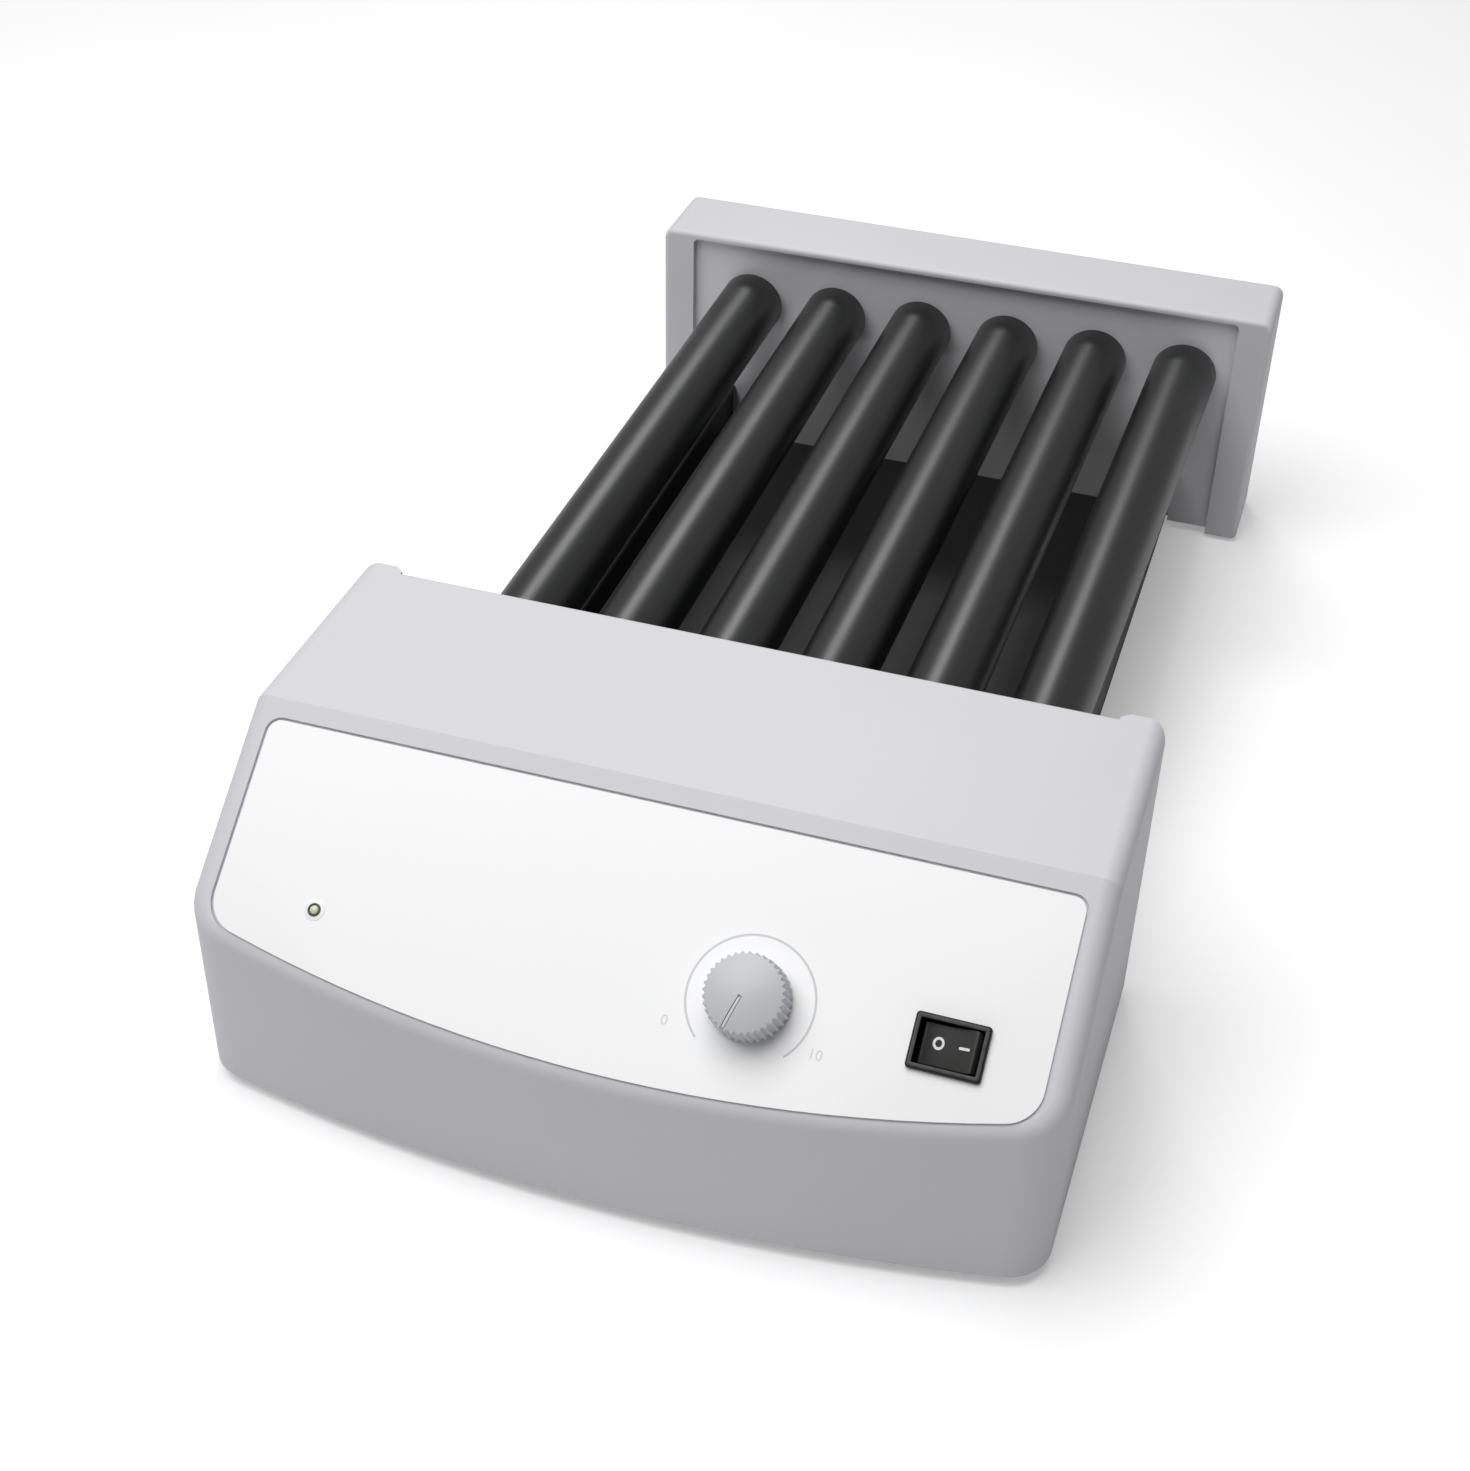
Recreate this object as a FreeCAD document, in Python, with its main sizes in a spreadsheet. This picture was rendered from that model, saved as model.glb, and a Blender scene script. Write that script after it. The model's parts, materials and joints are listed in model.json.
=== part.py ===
import FreeCAD, Part
import os
import re
import Sketcher

# Roller mixer: six inclined rollers turn together between a wide control housing in front
# and a narrow end housing behind. Millimetres and degrees; X right, Y back, Z up, with the
# origin under the middle of the part, at the height that the feet stand on.

doc = FreeCAD.newDocument("RollerMixer")
sheet = doc.addObject("Spreadsheet::Sheet", "Sizes")

# Driving dimensions: alias, value
SIZES = (
    # Overall layout
    ("roller_count", 6),
    ("roller_pitch", 36.5),
    ("roller_span", 280),
    ("axis_height", 67.6),
    ("ground_gap", 4.5),
    # Control housing
    ("front_width", 262),
    ("front_depth", 146),
    ("front_height", 107),
    ("shelf_depth", 76.4),
    ("slope_angle", 37.3),
    ("bow_radius", 610),
    ("front_corner_radius", 14),
    ("front_edge_round", 5.5),
    ("ear_width", 14.3),
    ("ear_slant", 2.6),
    ("front_recess", 2.3),
    ("shelf_round", 2),
    ("shell_wall", 3),
    # End housing
    ("rear_side_step", 4.1),
    ("rear_depth", 38),
    ("rear_height", 101.4),
    ("rear_skirt_gap", 1.3),
    ("rear_edge_round", 4),
    ("rear_front_round", 1.8),
    ("rear_low_round", 2.2),
    ("rear_frame_width", 13),
    ("rear_lip", 2.5),
    ("rear_window_round", 2.5),
    ("rear_recess", 2.9),
    # Floors, tray, plates and their screws
    ("floor_thickness", 3),
    ("seat_gap", 0.4),
    ("tray_width", 194),
    ("tray_thickness", 1.2),
    ("tray_lip", 22),
    ("plate_thickness", 2),
    ("plate_foot", 14),
    ("apron_gap", 2.2),
    ("screw_radius", 1.75),
    ("screw_head_radius", 3.4),
    ("screw_head_height", 1.9),
    ("screw_gap", 0.3),
    ("plate_screw_inner", 30),
    ("plate_screw_outer", 75),
    ("bracket_screw_x", 19),
    ("screw_length", 14),
    ("thread_gap", 0.05),
    ("boss_radius", 5.5),
    ("boss_inset", 5.2),
    ("front_boss_inset", 19),
    ("front_boss_setback", 120),
    ("foot_radius", 10),
    ("foot_stem_radius", 3),
    ("foot_chamfer", 0.6),
    ("front_foot_inset", 45),
    ("front_foot_setback", 118),
    ("rear_foot_inset", 22.9),
    # Rollers
    ("roller_radius", 13),
    ("sleeve_wall", 1.5),
    ("tube_wall", 1.5),
    ("end_gap", 2.5),
    ("roller_offset", 8),
    ("rest_phase", 60),
    ("cap_flange", 2),
    ("cap_plug", 12),
    ("sleeve_chamfer", 0.6),
    ("shaft_radius", 3),
    ("shaft_end", 0.8),
    ("running_gap", 0.05),
    # Bushes
    ("bush_radius", 6),
    ("bush_flange_radius", 8),
    ("bush_flange", 1.1),
    ("bush_length", 6),
    # Gear train
    ("gear_module", 1.5),
    ("addendum", 1.2),
    ("pressure_angle", 20),
    ("roller_teeth", 18),
    ("idler_teeth", 14),
    ("pinion_teeth", 12),
    ("gear_width", 8),
    ("gear_gap", 0.6),
    ("flank_gap", 0.12),
    ("root_gap", 0.35),
    ("idler_pin_radius", 2.5),
    ("idler_collar_radius", 4),
    ("pin_clip", 1),
    ("side_gap", 0.2),
    # Gear motor and its bracket
    ("motor_radius", 17),
    ("gearbox_length", 20),
    ("motor_can_radius", 14.5),
    ("motor_can_length", 26),
    ("motor_nose_radius", 6),
    ("motor_shaft_radius", 3),
    ("motor_shaft_depth", 8),
    ("bracket_width", 46),
    ("bracket_thickness", 2),
    ("bracket_foot", 22),
    ("bracket_gap", 2.6),
    ("bracket_corner", 8),
    # Control face
    ("overlay_half", 123),
    ("overlay_top", 6.5),
    ("overlay_bottom", 84.8),
    ("overlay_bow", 480),
    ("overlay_top_corner", 4),
    ("overlay_low_corner", 11),
    ("overlay_thickness", 1),
    ("overlay_groove", 0.8),
    ("overlay_recess", 1.2),
    # Speed knob and potentiometer
    ("knob_x", 39.3),
    ("knob_down", 54.8),
    ("knob_radius", 11.8),
    ("knob_top_radius", 11.2),
    ("knob_height", 12),
    ("knob_lift", 1),
    ("knob_taper", 0.4),
    ("knob_shoulder", 0.5),
    ("knob_hollow_radius", 8),
    ("knob_hollow", 4),
    ("knob_flutes", 36),
    ("flute_depth", 0.75),
    ("knob_dome", 0.5),
    ("pointer_start", 1.4),
    ("pointer_width", 1),
    ("pointer_depth", 0.8),
    ("pointer_angle", 252),
    ("knob_socket", 9),
    ("pot_radius", 12),
    ("pot_depth", 9),
    ("pot_bush_radius", 3.6),
    ("pot_bush_rise", 4),
    ("pot_nut_radius", 6),
    ("pot_nut_height", 2),
    # Power switch
    ("switch_inset", 35.6),
    ("switch_down", 54.7),
    ("switch_length", 21),
    ("switch_width", 15.8),
    ("switch_bezel", 2),
    ("switch_border", 1.6),
    ("switch_skirt", 0.8),
    ("bezel_round", 0.6),
    ("switch_body_depth", 15),
    ("switch_well_depth", 10),
    ("switch_cut_gap", 0.3),
    ("rocker_gap", 0.35),
    ("rocker_tilt", 10),
    ("rocker_pivot_depth", 2.6),
    ("rocker_rise", 3),
    ("rocker_drop", 5),
    ("rocker_pin_radius", 1),
    ("rocker_pin_length", 0.6),
    ("terminal_pitch", 6),
    ("terminal_thickness", 0.8),
    ("terminal_width", 6.3),
    ("terminal_length", 7),
    # Power lamp
    ("lamp_inset", 39.4),
    ("lamp_down", 59),
    ("lamp_radius", 2.3),
    ("lamp_rise", 1.1),
    ("lamp_wall", 0.6),
    ("lamp_holder_radius", 3.2),
    ("lamp_holder_rise", 0.5),
    ("lamp_depth", 7),
    # Mains inlet in the left wall
    ("inlet_setback", 54),
    ("inlet_height", 36),
    ("inlet_flange_length", 48),
    ("inlet_flange_height", 23),
    ("inlet_flange", 1.5),
    ("inlet_body_length", 28),
    ("inlet_body_height", 20),
    ("inlet_body_depth", 22),
    ("inlet_socket_length", 24.5),
    ("inlet_socket_height", 16.5),
    ("inlet_socket_depth", 17),
    ("inlet_blade_pitch", 7),
    ("blade_rise", 2),
    ("blade_thickness", 2),
    ("blade_width", 4),
    ("blade_setback", 1),
    ("blade_tail", 6),
    # Boards
    ("board_width", 58),
    ("board_depth", 46),
    ("board_inset", 61),
    ("board_setback", 88),
    ("board_thickness", 1.6),
    ("standoff_height", 8),
    ("standoff_radius", 3),
    ("chip_length", 16),
    ("chip_height", 5),
    ("heat_sink_length", 24),
    ("heat_sink_width", 12),
    ("capacitor_pitch", 20),
    ("capacitor_radius", 4),
    ("capacitor_height", 12),
    ("supply_width", 70),
    ("supply_depth", 44),
    ("supply_height", 28),
    ("supply_inset", 63),
    ("supply_setback", 92),
    ("supply_round", 1.5),
)

for row, (alias, value) in enumerate(SIZES, start=1):
    sheet.set(f"A{row}", alias)
    sheet.set(f"B{row}", str(value))
    sheet.setAlias(f"B{row}", alias)
doc.recompute()

# Places and lengths worked out from the driving dimensions
DERIVED = {
    "front_half": "front_width / 2",
    "rear_half": "front_half - rear_side_step",
    "tray_half": "tray_width / 2",
    "front_back_y": "(front_depth - roller_span - rear_depth) / 2",
    "front_nose_y": "front_back_y - front_depth",
    "rear_front_y": "front_back_y + roller_span",
    "rear_back_y": "rear_front_y + rear_depth",
    "break_y": "front_back_y - shelf_depth",
    "bow_centre_y": "front_nose_y + bow_radius",
    "floor_top": "ground_gap + floor_thickness",
    "tray_top": "floor_top + tray_thickness",
    "front_plate_y": "front_back_y - front_recess",
    "front_inside_y": "front_plate_y - plate_thickness",
    "rear_plate_y": "rear_front_y + rear_recess",
    "rear_inside_y": "rear_plate_y + plate_thickness",
    "roller_mid_y": "(front_plate_y + rear_plate_y) / 2",
    "roller_length": "rear_plate_y - front_plate_y - 2 * end_gap",
    "roller_tilt": "atan(2 * roller_offset / roller_length) / 1deg",
    "tube_radius": "roller_radius - sleeve_wall",
    "tube_bore": "tube_radius - tube_wall",
    "front_screw_y": "front_inside_y - plate_foot / 2",
    "rear_screw_y": "rear_inside_y + plate_foot / 2",
    "bracket_screw_y": "motor_y - bracket_foot / 2",
    "rear_boss_y": "rear_back_y - shell_wall - boss_inset",
    "side_boss_y": "front_inside_y - plate_foot - boss_radius - seat_gap",
    "side_boss_x": "front_half - shell_wall - boss_inset",
    "rear_boss_x": "rear_half - shell_wall - boss_inset",
    "front_boss_x": "front_half - front_boss_inset",
    "front_foot_x": "front_half - front_foot_inset",
    "rear_foot_x": "rear_half - rear_foot_inset",
    "lamp_x": "front_half - lamp_inset",
    "switch_x": "front_half - switch_inset",
    "bush_end_y": "front_plate_y - bush_length",
    "gear_y": "bush_end_y - gear_gap",
    "gear_end_y": "gear_y - gear_width",
    "clip_end_y": "gear_end_y - side_gap - pin_clip",
    "bracket_y": "clip_end_y - bracket_gap",
    "motor_y": "bracket_y - bracket_thickness",
    "mesh_distance": "gear_module * (roller_teeth + idler_teeth) / 2",
    "pinion_distance": "gear_module * (idler_teeth + pinion_teeth) / 2",
    "idler_drop": "sqrt(mesh_distance ^ 2 - (roller_pitch / 2) ^ 2)",
    "idler_height": "axis_height - idler_drop",
    "pinion_height": "idler_height - pinion_distance",
    "mesh_angle": "acos(roller_pitch / 2 / mesh_distance) / 1deg",
    "switch_body_x": "switch_length / 2 - switch_skirt",
    "switch_body_y": "switch_width / 2 - switch_skirt",
    "switch_well_x": "switch_length / 2 - switch_border",
    "switch_well_y": "switch_width / 2 - switch_border",
    "rocker_radius": "switch_well_x - rocker_gap",
    "rocker_pivot": "switch_bezel - rocker_pivot_depth",
    "overlay_face": "overlay_thickness - overlay_recess",
    "inlet_x": "-front_half",
    "inlet_y": "front_back_y - inlet_setback",
    "board_bottom": "floor_top + standoff_height",
    "board_x": "front_half - board_inset",
    "supply_x": "front_half - supply_inset",
}
ALIASES = {alias for alias, value in SIZES}


def bound(expression):
    """Write short names out as sheet cells, and derived names as their own sums."""
    def swap(match):
        word = match.group(0)
        if word in DERIVED:
            return "(" + bound(DERIVED[word]) + ")"
        return "Sizes." + word if word in ALIASES else word
    return re.sub(r"[a-z_]+", swap, str(expression))


def number(expression):
    """The value of an expression at the present sizes."""
    return float(sheet.evalExpression(bound(expression)))


def bind(item, **properties):
    """Tie properties to expressions; a double underscore stands for a dot."""
    for name, expression in properties.items():
        item.setExpression(name.replace("__", "."), bound(expression))


def place(item, x=0, y=0, z=0, axis=(0, 0, 1), angle=0, then=()):
    """Tie an item's place to expressions: a shift, a turn, then more (shift, axis, angle) steps."""
    steps = [((x, y, z), axis, angle), *then]
    terms = []
    for (px, py, pz), (ax, ay, az), turn in steps:
        shift = f"vector({bound(px)}; {bound(py)}; {bound(pz)})"
        terms.append(f"placement({shift}; rotation(vector({ax}; {ay}; {az}); {bound(turn)}))")
    item.setExpression("Placement", " * ".join(terms))


def new_body(label):
    item = doc.addObject("PartDesign::Body", label)
    item.Label = label
    item.AllowCompound = True
    return item


def new_sketch(body, role, height=0):
    """A sketch on one of the body's own origin planes, lifted along the plane's normal."""
    sketch = body.newObject("Sketcher::SketchObject", body.Name + "_sketch")
    plane = next(item for item in body.Origin.OriginFeatures if item.Role == role)
    sketch.AttachmentSupport = [(plane, "")]
    sketch.MapMode = "FlatFace"
    bind(sketch, AttachmentOffset__Base__z=height)
    return sketch


def fix_point(sketch, geometry, corner, x, y):
    for kind, expression in (("DistanceX", x), ("DistanceY", y)):
        index = sketch.addConstraint(
            Sketcher.Constraint(kind, -1, 1, geometry, corner, number(expression)))
        sketch.setExpression(f"Constraints[{index}]", bound(expression))


def outline(sketch, corners):
    """A closed outline through corners (x, y) or (x, y, radius, side): the entry's stretch to the
    next corner is an arc when it has a radius, bulging to the right of travel for side 1."""
    points = [FreeCAD.Vector(number(c[0]), number(c[1]), 0) for c in corners]
    ends = []
    for i, corner in enumerate(corners):
        start, stop = points[i], points[(i + 1) % len(points)]
        if len(corner) == 2:
            index = sketch.addGeometry(Part.LineSegment(start, stop), False)
            ends.append((index, 1, 2))
            continue
        radius, side = number(corner[2]), corner[3]
        chord = stop - start
        across = FreeCAD.Vector(chord.y, -chord.x, 0).normalize()
        rise = (radius ** 2 - (chord.Length / 2) ** 2) ** 0.5
        centre = (start + stop) * 0.5 - across * rise * side
        top = centre + across * radius * side
        arc = Part.Arc(start, top, stop)
        index = sketch.addGeometry(arc, False)
        made = sketch.Geometry[index]
        forward = made.StartPoint.distanceToPoint(start) < made.StartPoint.distanceToPoint(stop)
        ends.append((index, 1, 2) if forward else (index, 2, 1))
    for i, corner in enumerate(corners):
        index, first, last = ends[i]
        after, after_first, _ = ends[(i + 1) % len(ends)]
        sketch.addConstraint(Sketcher.Constraint("Coincident", index, last, after, after_first))
        fix_point(sketch, index, first, corner[0], corner[1])
        if len(corner) > 2:
            radius = sketch.addConstraint(Sketcher.Constraint("Radius", index, number(corner[2])))
            sketch.setExpression(f"Constraints[{radius}]", bound(corner[2]))


def rectangle(sketch, x_low, x_high, y_low, y_high):
    outline(sketch, [(x_low, y_low), (x_high, y_low), (x_high, y_high), (x_low, y_high)])


def circles(sketch, centres, radius):
    for x, y in centres:
        middle = FreeCAD.Vector(number(x), number(y), 0)
        ring = Part.Circle(middle, FreeCAD.Vector(0, 0, 1), number(radius))
        index = sketch.addGeometry(ring, False)
        limit = sketch.addConstraint(Sketcher.Constraint("Radius", index, number(radius)))
        sketch.setExpression(f"Constraints[{limit}]", bound(radius))
        if str(x) == "0" and str(y) == "0":
            sketch.addConstraint(Sketcher.Constraint("Coincident", index, 3, -1, 1))
        else:
            fix_point(sketch, index, 3, x, y)


def pad(body, sketch, length, centred=False, backward=False):
    feature = body.newObject("PartDesign::Pad", body.Name + "_pad")
    feature.Profile = sketch
    feature.SideType = "Symmetric" if centred else "One side"
    feature.Reversed = backward
    bind(feature, Length=length)
    return feature


def pocket(body, sketch, length, centred=False, backward=False):
    """Cut a profile into the body; by itself a cut runs against the sketch's normal."""
    doc.recompute()
    before = body.Shape.Volume
    feature = body.newObject("PartDesign::Pocket", body.Name + "_pocket")
    feature.Profile = sketch
    feature.SideType = "Symmetric" if centred else "One side"
    feature.Reversed = backward
    bind(feature, Length=length)
    doc.recompute()
    if body.Shape.Volume > before - 1e-6:
        raise RuntimeError(f"{feature.Name} cuts nothing")
    return feature


def dress(body, kind, size, wanted):
    """A fillet or chamfer on every edge of the body for which wanted(edge) is true."""
    doc.recompute()
    last = body.Tip
    names = [f"Edge{i}" for i, edge in enumerate(last.Shape.Edges, start=1) if wanted(edge)]
    if not names:
        raise RuntimeError(f"{body.Name} has no edge to dress")
    feature = body.newObject("PartDesign::" + kind, body.Name + "_" + kind.lower())
    feature.Base = (last, names)
    bind(feature, **{"Radius" if kind == "Fillet" else "Size": size})
    doc.recompute()
    return feature


def around(body, feature, sketch, count):
    """Repeat a feature evenly around the sketch's normal through its origin."""
    pattern = body.newObject("PartDesign::PolarPattern", body.Name + "_pattern")
    pattern.Originals = [feature]
    pattern.Axis = (sketch, ["N_Axis"])
    pattern.Angle = 360
    bind(pattern, Occurrences=count)
    body.Tip = pattern
    return pattern


def cylinder(name, radius, height, **where):
    item = doc.addObject("Part::Cylinder", name)
    bind(item, Radius=radius, Height=height)
    place(item, **where)
    return item


def block(name, x_size, y_size, z_size, **where):
    item = doc.addObject("Part::Box", name)
    bind(item, Length=x_size, Width=y_size, Height=z_size)
    place(item, **where)
    return item


def joined(name, items):
    item = doc.addObject("Part::MultiFuse", name)
    item.Label = name
    item.Shapes = items
    return item


def cut(name, base, tool):
    item = doc.addObject("Part::Cut", name)
    item.Label = name
    item.Base = base
    item.Tool = tool
    return item


def mid(edge):
    return edge.valueAt((edge.FirstParameter + edge.LastParameter) / 2)


def runs_along(edge, axis):
    """True for a straight edge parallel to a coordinate axis (0, 1 or 2)."""
    if not isinstance(edge.Curve, Part.Line):
        return False
    return abs(abs(edge.Curve.Direction[axis]) - 1) < 1e-6


def near(value, expression, slack=0.01):
    return abs(value - number(expression)) < slack


NODES = []


def node(item):
    """Note a finished sub-part; its label names its file."""
    NODES.append(item)
    return item


def roller_x(i):
    return f"({i} - (roller_count - 1) / 2) * roller_pitch"


def idler_x(j):
    return f"({j} + 0.5 - (roller_count - 1) / 2) * roller_pitch"


COUNT = int(number("roller_count"))
ROLLERS = range(COUNT)
IDLERS = range(COUNT - 1)
BOTH_SIDES = (-1, 1)
SLOPE = dict(y="break_y", z="front_height", axis=(1, 0, 0), angle="slope_angle")


# Control housing: a bowed block with a sloping face, hollow and open below

def bowed_plan(sketch, inset, back):
    """Plan of the control housing drawn in by an inset: straight sides, bowed front."""
    half = f"(front_half - {inset})"
    bow = f"(bow_radius - {inset})"
    corner = f"bow_centre_y - sqrt({bow} ^ 2 - {half} ^ 2)"
    outline(sketch, [(f"-{half}", back), (f"-{half}", corner, bow, 1),
                     (half, corner), (half, back)])


def control_block(name, inset, back, bottom):
    body = new_body(name)
    plan = new_sketch(body, "XY_Plane", bottom)
    bowed_plan(plan, inset, back)
    pad(body, plan, f"front_height - {inset} - ({bottom})")
    dress(body, "Fillet", f"front_corner_radius - {inset}",
          lambda edge: runs_along(edge, 2) and mid(edge).y < number(back) - 1)
    slope = new_sketch(body, "YZ_Plane")
    knee = f"break_y + {inset} * tan(slope_angle / 2)"
    roof = f"front_height - {inset}"
    outline(slope, [(knee, roof), (knee, "front_height + front_depth"),
                    ("front_nose_y - front_depth", "front_height + front_depth"),
                    ("front_nose_y - front_depth",
                     f"{roof} - ({knee} - front_nose_y + front_depth) * tan(slope_angle)")])
    pocket(body, slope, "front_width + front_depth", centred=True)
    return body


def rounded_edges(edge):
    """The shelf's side edges, the slope's edges and the ears' corners of the outer block."""
    point = mid(edge)
    on_side = near(abs(point.x), "front_half")
    if runs_along(edge, 2):
        return near(point.y, "front_back_y")
    if point.z < number("ground_gap") + 1 or near(point.y, "front_back_y"):
        return False
    return on_side or point.y < number("break_y") - 1


outer = control_block("control_outer", "0", "front_back_y", "ground_gap")
dress(outer, "Fillet", "front_edge_round", rounded_edges)
inner = control_block("control_inner", "shell_wall", "front_plate_y", "0")


def front_boss_places():
    for side in BOTH_SIDES:
        yield f"{side} * side_boss_x", "side_boss_y"
        yield f"{side} * front_boss_x", "front_back_y - front_boss_setback"


def rear_boss_places():
    for side in BOTH_SIDES:
        yield f"{side} * rear_boss_x", "rear_boss_y"


def bosses(name, places, bottom, top):
    body = new_body(name)
    sketch = new_sketch(body, "XY_Plane", bottom)
    circles(sketch, places, "boss_radius")
    pad(body, sketch, f"{top} - ({bottom})")
    return body


def pilot_holes(name, places):
    body = new_body(name)
    sketch = new_sketch(body, "XY_Plane", "ground_gap")
    circles(sketch, places, "screw_radius + thread_gap")
    pad(body, sketch, "screw_length + 2")
    return body


def overlay_outline(sketch, grow):
    """Face outline on the slope: straight top and sides, bowed lower edge, grown by a margin."""
    half = f"(overlay_half + {grow})"
    bow = f"(overlay_bow + {grow})"
    low = f"(overlay_bow - overlay_bottom - sqrt({bow} ^ 2 - {half} ^ 2))"
    outline(sketch, [(f"-{half}", f"-overlay_top + {grow}"), (f"-{half}", low, bow, 1),
                     (half, low), (half, f"-overlay_top + {grow}")])


def face_plate(name, grow, bottom, thickness):
    """A plate of the control face's outline with its four corners rounded."""
    body = new_body(name)
    sketch = new_sketch(body, "XY_Plane", bottom)
    overlay_outline(sketch, grow)
    pad(body, sketch, thickness)
    middle = number("-(overlay_top + overlay_bottom) / 2")
    dress(body, "Fillet", f"overlay_top_corner + {grow}",
          lambda edge: runs_along(edge, 2) and mid(edge).y > middle)
    dress(body, "Fillet", f"overlay_low_corner + {grow}",
          lambda edge: (runs_along(edge, 2) and mid(edge).y < middle
                        and near(abs(mid(edge).x), f"overlay_half + {grow}")))
    place(body, **SLOPE)
    return body


def slope_spot(x, down, rise):
    """Keywords for an item that stands on the slope, rise above its face."""
    return dict(SLOPE, then=[((x, f"-({down})", rise), (0, 0, 1), 0)])


knob_hole = cylinder("knob_hole", "pot_bush_radius + running_gap", "3 * shell_wall",
                     **slope_spot("knob_x", "knob_down", "-2 * shell_wall"))
lamp_hole = cylinder("lamp_hole", "lamp_radius + lamp_wall + running_gap", "3 * shell_wall",
                     **slope_spot("-lamp_x", "lamp_down", "-2 * shell_wall"))
switch_hole = block("switch_hole", "2 * switch_body_x + 2 * switch_cut_gap",
                    "2 * switch_body_y + 2 * switch_cut_gap", "3 * shell_wall",
                    **slope_spot("switch_x - switch_body_x - switch_cut_gap",
                                 "switch_down + switch_body_y + switch_cut_gap",
                                 "-2 * shell_wall"))
face_openings = joined("face_openings", [knob_hole, lamp_hole, switch_hole])

control_hollow = cut("control_hollow", inner,
                     bosses("control_bosses", list(front_boss_places()), "floor_top",
                            "front_height"))
front_window = new_body("front_window")
window_plan = new_sketch(front_window, "XY_Plane")
outline(window_plan, [
    ("ear_width - front_half", "front_plate_y"), ("front_half - ear_width", "front_plate_y"),
    ("front_half - ear_width + ear_slant", "front_back_y"),
    ("front_half", "front_back_y + front_recess"),
    ("-front_half", "front_back_y + front_recess"),
    ("ear_width - ear_slant - front_half", "front_back_y")])
pad(front_window, window_plan, "front_height + shell_wall")
# The shelf's back edge: a quarter round between the ears
shelf_edge = new_body("shelf_edge")
shelf_corner = new_sketch(shelf_edge, "YZ_Plane")
outline(shelf_corner, [
    ("front_plate_y", "front_height - shelf_round", "shelf_round", 1),
    ("front_plate_y - shelf_round", "front_height"),
    ("front_plate_y - shelf_round", "front_height + shelf_round"),
    ("front_plate_y + shelf_round", "front_height + shelf_round"),
    ("front_plate_y + shelf_round", "front_height - shelf_round")])
pad(shelf_edge, shelf_corner, "2 * (front_half - ear_width)", centred=True)
face_recess = face_plate("face_recess", "overlay_groove", "-overlay_recess",
                         "overlay_recess + shell_wall")
inlet_recess = block("inlet_recess", "2 * inlet_flange",
                     "inlet_flange_length + 2 * running_gap",
                     "inlet_flange_height + 2 * running_gap",
                     x="-front_half - inlet_flange",
                     y="inlet_y - inlet_flange_length / 2 - running_gap",
                     z="inlet_height - inlet_flange_height / 2 - running_gap")
inlet_hole = block("inlet_hole", "3 * shell_wall", "inlet_body_length + 2 * running_gap",
                   "inlet_body_height + 2 * running_gap", x="-front_half - shell_wall",
                   y="inlet_y - inlet_body_length / 2 - running_gap",
                   z="inlet_height - inlet_body_height / 2 - running_gap")
node(cut("front_cover", outer, joined("front_cutters", [
    control_hollow, front_window, shelf_edge, face_recess, face_openings, inlet_recess,
    inlet_hole,
    pilot_holes("front_pilots", list(front_boss_places()))])))
node(cut("control_overlay", face_plate("overlay_sheet", "0", "-overlay_recess",
                                       "overlay_thickness"), face_openings))


# End housing: a plain rounded box, open at the front inside a frame and open below. Its
# walls reach lower than its floor, nearly to the ground

end_outer = new_body("end_outer")
end_plan = new_sketch(end_outer, "XY_Plane", "rear_skirt_gap")
rectangle(end_plan, "-rear_half", "rear_half", "rear_front_y", "rear_back_y")
pad(end_outer, end_plan, "rear_height - rear_skirt_gap")
dress(end_outer, "Fillet", "rear_edge_round",
      lambda edge: mid(edge).z > number("ground_gap") and not near(mid(edge).y, "rear_front_y"))
dress(end_outer, "Fillet", "rear_low_round",
      lambda edge: near(mid(edge).z, "rear_skirt_gap") and runs_along(edge, 1))
dress(end_outer, "Fillet", "rear_front_round",
      lambda edge: near(mid(edge).y, "rear_front_y") and mid(edge).z > number("ground_gap"))
end_inner = block("end_inner", "2 * (rear_half - shell_wall)",
                  "rear_back_y - shell_wall - rear_plate_y", "rear_height - shell_wall",
                  x="-(rear_half - shell_wall)", y="rear_plate_y")
end_window = new_body("end_window")
opening = new_sketch(end_window, "XZ_Plane", "-rear_plate_y")
rectangle(opening, "rear_frame_width - rear_half", "rear_half - rear_frame_width", "0",
          "rear_height - rear_lip")
pad(end_window, opening, "2 * rear_recess")
dress(end_window, "Fillet", "rear_window_round",
      lambda edge: runs_along(edge, 1) and near(mid(edge).z, "rear_height - rear_lip"))
end_hollow = cut("end_hollow", end_inner,
                 bosses("end_bosses", list(rear_boss_places()), "floor_top", "rear_height"))
node(cut("rear_cover", end_outer, joined("rear_cutters", [
    end_hollow, end_window, pilot_holes("rear_pilots", list(rear_boss_places()))])))


# Floors, the tray that ties them together, and the two folded bearing plates

def plate_screw_places(y):
    return [(f"{side} * {x}", y) for side in BOTH_SIDES
            for x in ("plate_screw_inner", "plate_screw_outer")]


BRACKET_SCREWS = [(f"{side} * bracket_screw_x", "bracket_screw_y") for side in BOTH_SIDES]
FRONT_FEET = [(f"{side} * front_foot_x", "front_back_y - front_foot_setback")
              for side in BOTH_SIDES]
REAR_FEET = [(f"{side} * rear_foot_x", "(rear_plate_y + rear_back_y - shell_wall) / 2")
             for side in BOTH_SIDES]


def drill_down(body, places, radius, height):
    """Upright holes through the sheet that lies about a height."""
    sketch = new_sketch(body, "XY_Plane", height)
    circles(sketch, places, radius)
    pocket(body, sketch, "3 * floor_thickness", centred=True)


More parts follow.
